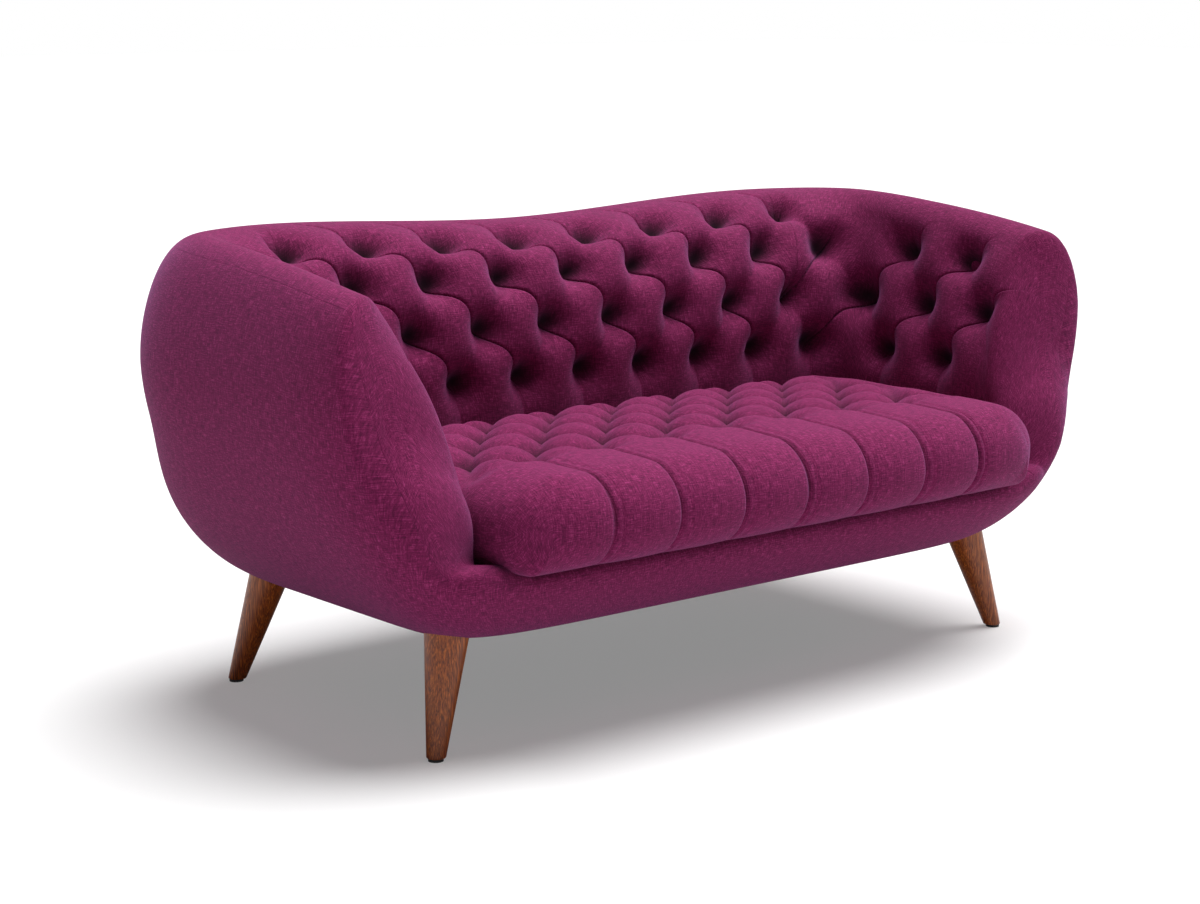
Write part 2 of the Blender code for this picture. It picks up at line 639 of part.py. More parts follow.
def pad_thickness(run, height, seam, inner_z):
    """Full behind the tufts, thin at the seam, the arm noses and the lip"""
    up = smooth((seam - height) / (seam - inner_z))
    full, thin = PAD_EASE_SHARES
    along = smooth((thin - np.abs(run) / TUFT_COLUMN) / (thin - full))
    return NOSE_PAD_THICKNESS + (PAD_THICKNESS - NOSE_PAD_THICKNESS) * up * along


def drawn_in(rows):
    """A piece's rows of points, with half of a joint's gap taken off either end of each row"""
    rows = np.array(rows)
    for end, near in ((0, 1), (-1, -2)):
        along = rows[..., near, :] - rows[..., end, :]
        rows[..., end, :] += along * (PAD_JOINT_GAP / np.linalg.norm(along, axis=-1))[..., None]
    return rows


def make_inside_pad(name, first, last):
    """An inside pad over the columns first to last, tufted where the tufts are"""
    taken = np.arange(first, last + 1)
    psi = PSI[taken % COLUMNS] + 2 * math.pi * (taken // COLUMNS)
    run = RUN[taken % COLUMNS]
    rows = ALL_ROWS[:, taken % COLUMNS]
    seam = rows[0]
    _, inner_z = rim_ends(psi)
    outer, inner = [], []
    for i, height in enumerate(rows):
        v = np.maximum(places_at(psi, height), SEAM_SHARE + SEAM_GAP_SHARE)
        # The edge at the seam is square to the surface, like the edge of the cover that it meets
        normals = surface_normals(psi, v if i else np.full_like(psi, SEAM_SHARE))
        points = surface(psi, v)
        outer.append(points + normals * tuft_relief(run, height)[:, None])
        inner.append(points - normals * pad_thickness(run, height, seam, inner_z)[:, None])
    return swept_solid(name, drawn_in(outer), drawn_in(inner), FABRIC, SOFA)


def moved_out(shape, psi, z, distance):
    """Points in plan of a surface at height z, moved outward by a distance"""
    along = (shape(psi + SLOPE_SHARE, z) - shape(psi - SLOPE_SHARE, z))[:, :2]
    outward = np.stack([along[:, 1], -along[:, 0]], 1)
    return shape(psi, z)[:, :2] + outward * (distance / np.linalg.norm(outward, axis=1))[:, None]


def make_lining(name, first, last, top):
    """A lining board that follows the back of a pad, cut off at the height top"""
    psi = PSI[first:last + 1]
    tuft_rows = TUFT_ROW_Z + TUFT_ROW * np.array(TUFT_ROW_STEPS)
    levels = [top] + [z for z in tuft_rows if LINING_FOOT_Z < z < top] + [LINING_FOOT_Z]
    outer, inner = [], []
    for z in levels:
        v = places_at(psi, np.full_like(psi, z))
        points, normals = surface(psi, v), surface_normals(psi, v)
        outer.append(points - normals * (PAD_THICKNESS + LINING_GAP))
        inner.append(points - normals * (PAD_THICKNESS + LINING_GAP + LINING_THICKNESS))
    return swept_solid(name, drawn_in(outer), drawn_in(inner), HARDBOARD, SOFA)


def rail_edges(psi, z):
    """Outer and inner edge in plan of a top rail between the outer cover and the linings"""
    full = (PAD_THICKNESS + LINING_GAP + LINING_THICKNESS) * math.hypot(1, INNER_FLARE_SHARE) + RAIL_PAD_GAP
    outer = moved_out(outside, psi, z, -COVER_THICKNESS - RIB_COVER_GAP)
    inner = moved_out(inside, psi, z, full)
    return outer, inner


def make_top_rail(name, first, last):
    """A plywood rail sawn to the curve of the rim"""
    psi = PSI[first:last + 1]
    outer, inner = rail_edges(psi, TOP_RAIL_Z + PLY_THICKNESS)
    outline = np.concatenate([drawn_in(outer), drawn_in(inner)[::-1]])
    middle = TOP_RAIL_Z + PLY_THICKNESS / 2
    return flat_board(name, outline, PLY_THICKNESS, lambda u, v, w: (u, v, middle + w), PLYWOOD, SOFA)


def make_rim_foam():
    """The foam roll on the back's top rail, under the pad and the outer cover"""
    first, last = MIDDLE - LINING_CORNER_COLUMNS, MIDDLE + LINING_CORNER_COLUMNS
    psi, run = PSI[first:last + 1], RUN[first:last + 1]
    seam = seam_heights(psi)
    _, inner_z = rim_ends(psi)
    places, height = wall_runs(psi)
    floor_z = TOP_RAIL_Z + PLY_THICKNESS + TOUCH_GAP
    rail_outer, rail_inner = rail_edges(psi, TOP_RAIL_Z + PLY_THICKNESS)
    outer, inner = [], []
    for place in FOAM_ROW_SHARES:
        v = np.full_like(psi, place)
        here = np.array([np.interp(place, places, height[:, i]) for i in range(len(psi))])
        deep = np.where(here > seam, COVER_THICKNESS, pad_thickness(run, here, seam, inner_z))
        outer.append(surface(psi, v) - surface_normals(psi, v) * (deep + RIM_FOAM_GAP)[:, None])
        share = (place - FOAM_ROW_SHARES[0]) / (FOAM_ROW_SHARES[-1] - FOAM_ROW_SHARES[0])
        flat = rail_outer + (rail_inner - rail_outer) * share
        inner.append(np.column_stack([flat, np.full_like(psi, floor_z)]))
    return swept_solid("back_rim_foam", np.array(outer), np.array(inner), FOAM, SOFA)


def back_reach(shape, x, z):
    """How far back a surface lies at x and height z"""
    fine = np.linspace(0, math.pi, FINE_STEPS)
    points = shape(fine, z)
    return float(np.interp(-x, -points[:, 0], points[:, 1]))


def side_reach(shape, y, z):
    """How far out a surface lies at y and height z"""
    fine = np.linspace(-math.pi / 2, math.pi / 2, FINE_STEPS)
    points = shape(fine, z)
    return float(np.interp(y, points[:, 1], points[:, 0]))


def rib_outline(reach, foot_out):
    """A rib's outline, outward and up: from its foot on the outer part of a rail to the top rail"""
    foot_in = foot_out - RIB_FOOT_WIDTH
    outer_gap = COVER_THICKNESS + RIB_COVER_GAP
    lining = PAD_THICKNESS + LINING_GAP + LINING_THICKNESS
    inner_gap = lining * math.hypot(1, INNER_FLARE_SHARE) + RAIL_PAD_GAP
    heights = np.linspace(RIB_FOOT_Z, TOP_RAIL_Z - TOUCH_GAP, RIB_STEPS)
    foot_z = FRAME_TOP_Z + TOUCH_GAP
    outer = [(reach(outside, z) - outer_gap, z) for z in heights]
    inner = [(reach(inside, z) + inner_gap, z) for z in heights]
    return [(foot_in, foot_z), (foot_out, foot_z), *outer, *inner[::-1], (foot_in, foot_z + RIB_NOTCH)]


def make_ribs():
    """Plywood ribs that stand on the base frame and carry the top rails"""
    for i, x in enumerate(FRAME_HALF_WIDTH * np.array(BACK_RIB_SHARES)):
        outline = rib_outline(lambda shape, z: back_reach(shape, x, z), FRAME_BACK_REACH)
        flat_board(f"back_rib_{i + 1}", outline, PLY_THICKNESS, lambda u, v, w: (x + w, u, v), PLYWOOD, SOFA)
    for side, word in ((1, "right"), (-1, "left")):
        for y, place in zip(ARM_RIB_YS, ("front", "rear")):
            outline = rib_outline(lambda shape, z: side_reach(shape, y, z), FRAME_HALF_WIDTH)
            flat_board(f"{word}_arm_{place}_rib", outline, PLY_THICKNESS,
                       lambda u, v, w: (side * u, y + w, v), PLYWOOD, SOFA)


def make_lip_frame():
    """The rail behind the front lip, and the short ribs that hold it out from the front rail"""
    top = FRAME_TOP_Z
    box("lip_rail", (-LIP_RAIL_HALF_LENGTH, -LIP_RAIL_REACH, top - LIP_RAIL_HEIGHT),
        (LIP_RAIL_HALF_LENGTH, -LIP_RAIL_REACH + LIP_RAIL_WIDTH, top), BEECH, SOFA, EDGE_BREAK)
    for x, place in zip(FRAME_HALF_WIDTH * np.array(LIP_RIB_SHARES), ("left", "middle", "right")):
        box(f"lip_rib_{place}",
            (x - PLY_THICKNESS / 2, -LIP_RAIL_REACH + LIP_RAIL_WIDTH + TOUCH_GAP, top - LIP_RAIL_HEIGHT),
            (x + PLY_THICKNESS / 2, -FRAME_FRONT_REACH - TOUCH_GAP, top), PLYWOOD, SOFA)


def make_base_frame():
    """The beech frame under the seat, with a block in each corner for a leg"""
    front, back = -FRAME_FRONT_REACH, FRAME_BACK_REACH
    box("front_rail", (-BLOCK_INNER_X + TOUCH_GAP, front, FRAME_Z),
        (BLOCK_INNER_X - TOUCH_GAP, front + RAIL_THICKNESS, FRAME_TOP_Z), BEECH, SOFA, EDGE_BREAK)
    box("back_rail", (-BACK_RAIL_HALF_LENGTH, back - RAIL_THICKNESS, FRAME_Z),
        (BACK_RAIL_HALF_LENGTH, back, FRAME_TOP_Z), BEECH, SOFA, EDGE_BREAK)
    box("centre_rail", (-RAIL_THICKNESS / 2, front + RAIL_THICKNESS + TOUCH_GAP, FRAME_Z),
        (RAIL_THICKNESS / 2, back - RAIL_THICKNESS - TOUCH_GAP, FRAME_TOP_Z), BEECH, SOFA, EDGE_BREAK)
    for side, word in ((1, "right"), (-1, "left")):
        inner, outer = FRAME_HALF_WIDTH - RAIL_THICKNESS, FRAME_HALF_WIDTH
        low = (min(side * inner, side * outer), -BLOCK_INNER_Y + TOUCH_GAP, FRAME_Z)
        high = (max(side * inner, side * outer), BLOCK_INNER_Y - TOUCH_GAP, FRAME_TOP_Z)
        box(f"{word}_side_rail", low, high, BEECH, SOFA, EDGE_BREAK)


def make_springs():
    """Zigzag springs from the front rail to the back rail, and the strips that hold their ends down"""
    count = 2 * SPRINGS_PER_SIDE
    start = -FRAME_FRONT_REACH + RAIL_THICKNESS - SPRING_END_INSET
    end = FRAME_BACK_REACH - RAIL_THICKNESS + SPRING_END_INSET
    level = FRAME_TOP_Z + TOUCH_GAP + SPRING_WIRE / 2
    for i in range(count):
        middle = (i - (count - 1) / 2) * SPRING_SPACING
        curve = bpy.data.curves.new(f"zigzag_spring_{i + 1}", "CURVE")
        curve.dimensions = "3D"
        curve.bevel_depth = SPRING_WIRE / 2
        curve.bevel_resolution = 1
        curve.use_fill_caps = True
        spline = curve.splines.new("POLY")
        steps = 2 * SPRING_TURNS + 2
        spline.points.add(steps - 1)
        for j, point in enumerate(spline.points):
            # Each turn has two points on one side, then two on the other
            share = (j // 2 + 1 - (j + 1) % 2 * SPRING_TURN_SHARE) / (steps // 2)
            swing = SPRING_SWING * (1 if (j + 1) // 2 % 2 else -1)
            swing = 0 if j in (0, steps - 1) else swing
            share = 0 if j == 0 else 1 if j == steps - 1 else share
            rise = SPRING_CROWN * math.sin(math.pi * share)
            point.co = (middle + swing, start + (end - start) * share, level + rise, 1)
        made = bpy.data.objects.new(f"zigzag_spring_{i + 1}", curve)
        curve.materials.append(SPRING_STEEL)
        SOFA.objects.link(made)
    reach = SPRING_SPACING * SPRINGS_PER_SIDE
    low_z = FRAME_TOP_Z + SPRING_WIRE + 2 * TOUCH_GAP
    for name, middle in (("front_spring_strip", start), ("rear_spring_strip", end)):
        box(name, (-reach, middle - STRIP_WIDTH / 2, low_z),
            (reach, middle + STRIP_WIDTH / 2, low_z + STRIP_THICKNESS), STEEL, SOFA)


def rounded_rectangle(half_width, front, back, corner, steps):
    """A rectangle with rounded corners, as an outline"""
    outline = []
    for turn, (x, y) in enumerate(((1, 1), (-1, 1), (-1, -1), (1, -1))):
        centre = (x * (half_width - corner), back - corner if y > 0 else -front + corner)
        for step in range(steps + 1):
            angle = math.pi / 2 * (turn + step / steps)
            outline.append((centre[0] + corner * math.cos(angle), centre[1] + corner * math.sin(angle)))
    return outline


def make_deck_and_dust_cover():
    """The felted board that the seat cushion lies on, and the cloth under the frame"""
    outline = rounded_rectangle(DECK_HALF_WIDTH, DECK_FRONT_REACH, DECK_BACK_REACH, DECK_CORNER,
                                DECK_CORNER_STEPS)
    middle = DECK_Z + DECK_THICKNESS / 2
    flat_board("seat_deck", outline, DECK_THICKNESS, lambda u, v, w: (u, v, middle + w), FELT, SOFA)
    inward = COVER_TURN_UNDER + DUST_COVER_GAP
    under_x, under_y = ring(PSI, BASE_HALF_WIDTH - inward, BASE_FRONT_REACH - inward,
                            BASE_BACK_REACH - inward, FRONT_SQUARENESS_LOW_SHARE,
                            BACK_SQUARENESS_LOW_SHARE)
    cloth = FRAME_Z - TOUCH_GAP - DUST_COVER_THICKNESS / 2
    flat_board("dust_cover", list(zip(under_x, under_y)), DUST_COVER_THICKNESS,
               lambda u, v, w: (u, v, cloth + w), LINING, SOFA)


def make_legs(cover):
    """Turned legs that lean out through the cover, each bolted through a plate into its block"""
    top_z = BLOCK_Z - PLATE_THICKNESS - 2 * TOUCH_GAP
    slope = (LEG_TOP_RADIUS - LEG_FOOT_RADIUS) / top_z
    for side, word in ((1, "right"), (-1, "left")):
        for depth, place in ((-1, "front"), (1, "back")):
            def centre(z):
                return (side * (FOOT_X - LEG_LEAN_X_SHARE * z), depth * (FOOT_Y - LEG_LEAN_Y_SHARE * z), z)

            name = f"{place}_{word}"
            ends = (centre(GLIDE_HEIGHT + TOUCH_GAP), centre(top_z))
            leg = leaning_cone(f"{name}_leg", *ends, LEG_FOOT_RADIUS, LEG_TOP_RADIUS, LEG_SIDES, WALNUT, SOFA)
            leaning_cone(f"{name}_glide", (FOOT_X * side, FOOT_Y * depth, 0),
                         (FOOT_X * side, FOOT_Y * depth, GLIDE_HEIGHT), GLIDE_RADIUS, GLIDE_RADIUS,
                         LEG_SIDES, NYLON, SOFA)
            plate_x, plate_y, _ = centre(BLOCK_Z)
            plate = leaning_cone(f"{name}_leg_plate", (plate_x, plate_y, top_z + TOUCH_GAP),
                                 (plate_x, plate_y, BLOCK_Z - TOUCH_GAP), PLATE_RADIUS, PLATE_RADIUS,
                                 LEG_SIDES, STEEL, SOFA)
            outer_y = FRAME_FRONT_REACH + BLOCK_OVERHANG if depth < 0 else \
                FRAME_BACK_REACH - RAIL_THICKNESS - TOUCH_GAP
            ends_x = sorted((side * BLOCK_INNER_X, side * BLOCK_OUTER_X))
            ends_y = sorted((depth * BLOCK_INNER_Y, depth * outer_y))
            block = box(f"{name}_leg_block", (ends_x[0], ends_y[0], BLOCK_Z),
                        (ends_x[1], ends_y[1], FRAME_TOP_Z), BEECH, SOFA)
            low, high = top_z - BOLT_IN_LEG, BLOCK_Z + BOLT_IN_BLOCK
            leaning_cone(f"{name}_leg_bolt", centre(low), centre(high), BOLT_RADIUS, BOLT_RADIUS,
                         BOLT_SIDES, STEEL, SOFA)
            bore = BOLT_RADIUS + BOLT_CLEARANCE
            hole = as_cutter(leaning_cone(f"{name}_bolt_hole", centre(low - TOUCH_GAP),
                                          centre(high + TOUCH_GAP), bore, bore, BOLT_SIDES, STEEL, CUTTERS))
            for body in (leg, plate, block):
                cut(body, hole)
            below, above = UNDERSIDE_Z - CUT_OVERRUN, BLOCK_Z + CUT_OVERRUN
            way = as_cutter(leaning_cone(
                f"{name}_leg_hole", centre(below), centre(above),
                LEG_FOOT_RADIUS + slope * below + LEG_HOLE_CLEARANCE,
                LEG_FOOT_RADIUS + slope * above + LEG_HOLE_CLEARANCE, LEG_SIDES, WALNUT, CUTTERS))
            cut(cover, way)


def rounded_edge(distance, radius):
    """Height of a rounded edge, from 0 at the edge to 1 one radius in"""
    share = 1 - np.clip(distance / radius, 0, 1)
    return np.sqrt(1 - share * share)


def cushion_relief(x, y):
    """How far the tufts, and the pleats between them, lie below the cushion's top"""
    column, row = x / CUSHION_TUFT_COLUMN, (y - CUSHION_FIRST_ROW_Y) / CUSHION_TUFT_ROW
    first, second = column + row / 2, column - row / 2
    crown = np.abs(np.sin(math.pi * first) * np.sin(math.pi * second)) ** PILLOW_SHARE
    near_row = np.round(row)
    near_column = np.round(column - near_row / 2) + near_row / 2
    near = np.hypot((column - near_column) * CUSHION_TUFT_COLUMN, (row - near_row) * CUSHION_TUFT_ROW)
    tufted = CUSHION_PLEAT_DEPTH * (1 - crown)
    tufted = tufted + (CUSHION_TUFT_DEPTH - CUSHION_PLEAT_DEPTH) * np.exp(-(near / CUSHION_TUFT_RADIUS) ** 2)
    pleat = CUSHION_PLEAT_DEPTH * (1 - np.abs(np.sin(math.pi * column)) ** PILLOW_SHARE)
    front = smooth(-row / TUFT_FADE_SHARE)
    return tufted * (1 - front) + pleat * front


def make_cushion():
    """The loose seat cushion: crowned and tufted on top, with a round front and drawn-in sides"""
    half = CUSHION_HALF_WIDTH
    step = CUSHION_TUFT_COLUMN / 4
    inner_x = step * np.arange(int((half - CUSHION_SIDE_RADIUS) / step) + 1)
    edge_x = half - CUSHION_SIDE_RADIUS * np.array(CUSHION_SIDE_SHARES)
    right = np.concatenate([inner_x, edge_x])
    across = np.concatenate([-right[:0:-1], right])
    step = CUSHION_TUFT_ROW / 2
    front_y, back_y = -CUSHION_FRONT_REACH, CUSHION_BACK_REACH
    rows = CUSHION_FIRST_ROW_Y + step * np.arange(
        -3, int((back_y - CUSHION_BACK_RADIUS - CUSHION_FIRST_ROW_Y) / step) + 1)
    along = np.concatenate([front_y + CUSHION_NOSE_RADIUS * np.array(CUSHION_NOSE_SHARES), rows,
                            back_y - CUSHION_BACK_RADIUS * np.array(CUSHION_BACK_SHARES)])
    x, y = np.meshgrid(across, along)
    centre_y, half_depth = (front_y + back_y) / 2, (back_y - front_y) / 2
    u, w = np.abs(x) / half, np.abs(y - centre_y) / half_depth
    # Squares far from the middle are drawn in to a rounded outline
    power = CUSHION_SQUARENESS_SHARE
    square, round_size = np.maximum(u, w), (u ** power + w ** power) ** (1 / power)
    draw = 1 - (1 - square / np.maximum(round_size, TOUCH_GAP)) * square ** power
    lift = (rounded_edge(y - front_y, CUSHION_NOSE_RADIUS)
            * rounded_edge(half - np.abs(x), CUSHION_SIDE_RADIUS)
            * rounded_edge(back_y - y, CUSHION_BACK_RADIUS))
    waist = CUSHION_Z + CUSHION_HEIGHT * CUSHION_WAIST_SHARE
    crown = CUSHION_CROWN * (1 - u * u) * (1 - w * w)
    top = waist + CUSHION_BAND / 2 + lift * (
        CUSHION_Z + CUSHION_HEIGHT - waist - CUSHION_BAND / 2 + crown - cushion_relief(x, y))
    bottom = waist - CUSHION_BAND / 2 - lift * (waist - CUSHION_BAND / 2 - CUSHION_Z)
    plan_x, plan_y = x * draw, centre_y + (y - centre_y) * draw
    cushion = swept_solid("seat_cushion", np.stack([plan_x, plan_y, top], -1),
                          np.stack([plan_x, plan_y, bottom], -1), FABRIC, SOFA)
    # The flat middle of the underside is one face
    bm = bmesh.new()
    bm.from_mesh(cushion.data)
    level = CUSHION_Z + TOUCH_GAP / 10
    flat = [face for face in bm.faces if all(vert.co.z < level for vert in face.verts)]
    bmesh.ops.dissolve_faces(bm, faces=flat)
    bm.to_mesh(cushion.data)
    bm.free()
    return cushion


def make_sofa():
    """Every piece of the sofa"""
    nose_end = LIP_COLUMNS
    cover = make_cover()
    make_inside_pad("inside_right_arm_pad", nose_end, MIDDLE - CORNER_COLUMNS)
    make_inside_pad("inside_back_pad", MIDDLE - CORNER_COLUMNS, MIDDLE + CORNER_COLUMNS)
    make_inside_pad("inside_left_arm_pad", MIDDLE + CORNER_COLUMNS, COLUMNS - nose_end)
    make_inside_pad("front_lip_pad", COLUMNS - nose_end, COLUMNS + nose_end)
    corner, front = LINING_CORNER_COLUMNS, ARM_RAIL_COLUMNS
    make_lining("back_lining", MIDDLE - corner, MIDDLE + corner, BACK_LINING_TOP_Z)
    make_lining("right_arm_lining", MIDDLE - front, MIDDLE - CORNER_COLUMNS - 1, ARM_LINING_TOP_Z)
    make_lining("left_arm_lining", MIDDLE + CORNER_COLUMNS + 1, MIDDLE + front, ARM_LINING_TOP_Z)
    make_top_rail("back_top_rail", MIDDLE - corner, MIDDLE + corner)
    make_top_rail("right_arm_top_rail", MIDDLE - front, MIDDLE - corner)
    make_top_rail("left_arm_top_rail", MIDDLE + corner, MIDDLE + front)
    make_rim_foam()
    make_ribs()
    make_lip_frame()
    make_base_frame()
    make_springs()
    make_deck_and_dust_cover()
    make_legs(cover)
    make_cushion()


make_sofa()
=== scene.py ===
# %% [markdown]
# # A tufted tub sofa, dressed
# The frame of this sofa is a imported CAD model: sixty solids with their real sizes. This lesson loads it,
# makes the fine upholstery, the turned legs and the materials round it, and lights it like a studio shot.
# Everything is in metres, +Z up, with the sofa's front towards -Y and its feet on z = 0.

# %% Load the frame
import json
import math

import bmesh
import bpy
import numpy as np
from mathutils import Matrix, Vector


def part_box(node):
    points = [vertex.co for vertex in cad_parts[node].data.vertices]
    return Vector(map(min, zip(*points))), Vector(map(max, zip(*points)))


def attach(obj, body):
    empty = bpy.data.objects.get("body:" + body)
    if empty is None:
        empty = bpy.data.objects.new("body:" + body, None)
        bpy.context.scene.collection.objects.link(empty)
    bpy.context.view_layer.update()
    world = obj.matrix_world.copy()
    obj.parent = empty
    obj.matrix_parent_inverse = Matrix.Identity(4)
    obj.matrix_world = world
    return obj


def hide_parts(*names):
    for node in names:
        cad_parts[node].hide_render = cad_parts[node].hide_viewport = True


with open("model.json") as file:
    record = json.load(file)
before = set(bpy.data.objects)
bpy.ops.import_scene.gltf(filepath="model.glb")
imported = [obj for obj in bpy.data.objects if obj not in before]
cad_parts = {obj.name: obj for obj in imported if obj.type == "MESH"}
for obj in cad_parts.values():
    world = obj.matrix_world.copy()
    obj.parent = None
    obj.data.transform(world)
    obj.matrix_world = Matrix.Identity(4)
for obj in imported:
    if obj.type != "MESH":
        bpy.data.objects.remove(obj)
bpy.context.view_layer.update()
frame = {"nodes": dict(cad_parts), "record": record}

NODES = frame["nodes"]

# %% [markdown]
# The camera stands where the photograph's camera stood: in front of the sofa's left arm and a little above
# its rim. Its place comes from matching the four feet and the rim's corners in the picture. The lens is the
# matched focal length, in pixels of a picture 1200 wide, on a 36 mm sensor.

# %% Camera
PICTURE_WIDTH = 1200
SENSOR = 36.0
FOCAL_PIXELS = 2498
CAMERA_YAW, CAMERA_PITCH = math.radians(39.67), math.radians(10.75)
CAMERA_AIM = Vector((-0.065, 0.0, 0.350))
CAMERA_DISTANCE = 4.092

camera_data = bpy.data.cameras.new("studio_camera")
camera_data.sensor_fit = "HORIZONTAL"
camera_data.sensor_width = SENSOR
camera_data.lens = SENSOR * FOCAL_PIXELS / PICTURE_WIDTH
camera = bpy.data.objects.new("studio_camera", camera_data)
bpy.context.scene.collection.objects.link(camera)
forward = Vector((math.sin(CAMERA_YAW) * math.cos(CAMERA_PITCH),
                  math.cos(CAMERA_YAW) * math.cos(CAMERA_PITCH), -math.sin(CAMERA_PITCH)))
camera.location = CAMERA_AIM - forward * CAMERA_DISTANCE
camera.rotation_euler = (math.pi / 2 - CAMERA_PITCH, 0, -CAMERA_YAW)
bpy.context.scene.camera = camera
print("lens", round(camera_data.lens, 2), "mm at", [round(c, 3) for c in camera.location])

# %% [markdown]
# A material here starts from what the real one is. Colours are written as hex codes, as a paint chart has
# them, and one function turns them into the linear values that shaders add and multiply. A second function
# adds a node with its settings and its links, so each recipe below reads as a list of steps.

# %% Helpers for materials
def linear(code):
    """A hex colour as linear red, green, blue and alpha"""
    parts = [int(code[i:i + 2], 16) / 255 for i in (0, 2, 4)]
    return [p / 12.92 if p <= 0.04045 else ((p + 0.055) / 1.055) ** 2.4 for p in parts] + [1]


def add_node(material, kind, inputs=None, **settings):
    """Add a ShaderNode of a kind: settings are its own values, inputs its sockets' values or links"""
    node = material.node_tree.nodes.new("ShaderNode" + kind)
    for key, value in settings.items():
        setattr(node, key, value)
    for key, value in (inputs or {}).items():
        if isinstance(value, bpy.types.NodeSocket):
            material.node_tree.links.new(value, node.inputs[key])
        else:
            node.inputs[key].default_value = value
    return node


def start_material(name, roughness, metallic=0.0, **sockets):
    """A material with its Principled shader, whose constant values sit on its own sockets"""
    made = bpy.data.materials.new(name)
    made.use_nodes = True
    shader = made.node_tree.nodes["Principled BSDF"]
    shader.inputs["Roughness"].default_value = roughness
    shader.inputs["Metallic"].default_value = metallic
    for key, value in sockets.items():
        shader.inputs[key.replace("_", " ")].default_value = value
    return made, shader


def join(material, output, target):
    """Link an output to a socket"""
    material.node_tree.links.new(output, target)


MILLIMETRE = 0.001
print("a millimetre is", MILLIMETRE, "m")

# %% [markdown]
# The cover is a heathered wool in a plain weave: magenta yarns of several depths, spun thick and thin. Real
# yarns are about 1 mm apart, too fine to show from here, so they are drawn 1.7 mm apart. Two noises, each
# drawn out along one thread direction, give the warp and the weft. The pattern follows each piece's own UV
# map, in metres along the cloth, so the weave turns with the fabric as a sewn panel does.

# %% Magenta wool
YARN = 1.7 * MILLIMETRE
YARN_RUN = 15 * MILLIMETRE
FLECK = 2.2 * MILLIMETRE
YARN_RISE, YARN_RELIEF = 0.6 * MILLIMETRE, 0.5
# How thick warp, weft and flecks are together where a yarn turns to the middle colour, and to the pale one
MIDDLE_YARNS, PALE_YARNS = (1.20, 1.80), (1.58, 1.98)
wool, shader = start_material("heathered_magenta_wool_plain_weave", 0.90, Sheen_Weight=0.28,
                              Sheen_Roughness=0.40, Sheen_Tint=linear("CE8FD6"), Specular_IOR_Level=0.22)
cloth_map = add_node(wool, "UVMap", uv_map="cloth")
threads = []
for along, across in ((YARN_RUN, YARN), (YARN, YARN_RUN)):
    laid = add_node(wool, "Mapping", {0: cloth_map.outputs[0], 3: (1 / along, 1 / across, 1)})
    threads.append(add_node(wool, "TexNoise", {
        "Vector": laid.outputs[0], "Scale": 1.0, "Detail": 2.0, "Roughness": 0.6}, noise_dimensions="2D"))
crossed = add_node(wool, "Math", {0: threads[0].outputs[0], 1: threads[1].outputs[0]}, operation="ADD")
place = add_node(wool, "TexCoord")
laid = add_node(wool, "Mapping", {0: place.outputs["Object"], 3: (1 / FLECK, 1 / FLECK, 1 / FLECK)})
flecks = add_node(wool, "TexNoise", {"Vector": laid.outputs[0], "Scale": 1.0, "Detail": 3.0,
                                     "Roughness": 0.7})
thick = add_node(wool, "Math", {0: flecks.outputs[0], 1: crossed.outputs[0]}, operation="ADD")
yarn = linear("570D39")
for (low, high), code in ((MIDDLE_YARNS, "881E56"), (PALE_YARNS, "9D386F")):
    share = add_node(wool, "MapRange", {"Value": thick.outputs[0], "From Min": low, "From Max": high})
    mixed = add_node(wool, "Mix", {0: share.outputs[0], 6: yarn, 7: linear(code)}, data_type="RGBA")
    yarn = mixed.outputs[2]
# Painted shade: deep in a tuck the yarn colour is mixed towards near black by the tuck attribute, standing in
# for the light that hardly comes back from the pile there
shade_share = add_node(wool, "Attribute", attribute_name="tuck")
yarn_under_painted_shade = add_node(wool, "Mix", {0: shade_share.outputs["Fac"], 6: yarn, 7: linear("1C0313")}, data_type="RGBA")
join(wool, yarn_under_painted_shade.outputs[2], shader.inputs["Base Color"])
raised = add_node(wool, "Bump", {"Height": thick.outputs[0], "Strength": YARN_RELIEF, "Distance": YARN_RISE})
join(wool, raised.outputs[0], shader.inputs["Normal"])
print("wool nodes", len(wool.node_tree.nodes))

# %% [markdown]
# The legs are walnut, turned and oiled. Its grain is long along the wood and fine across it: a stretched
# noise gives the dark pores and a slower one the growth bands. Oil leaves a low sheen, not a gloss.

# %% Walnut
PORE_WIDTH, PORE_LENGTH = 1.6 * MILLIMETRE, 45 * MILLIMETRE
BAND_WIDTH, BAND_LENGTH = 9 * MILLIMETRE, 160 * MILLIMETRE
BAND_TURNS = 42.0
PORE_SHARES = (0.38, 0.60)
PORE_RISE, PORE_RELIEF = 0.3 * MILLIMETRE, 0.25
walnut, shader = start_material("oiled_walnut_turned", 0.42, Coat_Weight=0.12, Coat_Roughness=0.35)
place = add_node(walnut, "TexCoord")
grains = []
for width, length, look in ((BAND_WIDTH, BAND_LENGTH, {"Detail": 2.0, "Distortion": 0.8}),
                            (PORE_WIDTH, PORE_LENGTH, {"Detail": 4.0, "Roughness": 0.65})):
    laid = add_node(walnut, "Mapping", {0: place.outputs["Object"], 3: (1 / width, 1 / width, 1 / length)})
    grains.append(add_node(walnut, "TexNoise", {"Vector": laid.outputs[0], "Scale": 1.0, **look}))
bands, pores = grains
rings = add_node(walnut, "Math", {0: bands.outputs[0], 1: BAND_TURNS}, operation="MULTIPLY")
rings = add_node(walnut, "Math", {0: rings.outputs[0]}, operation="SINE")
wood = linear("CF7028")
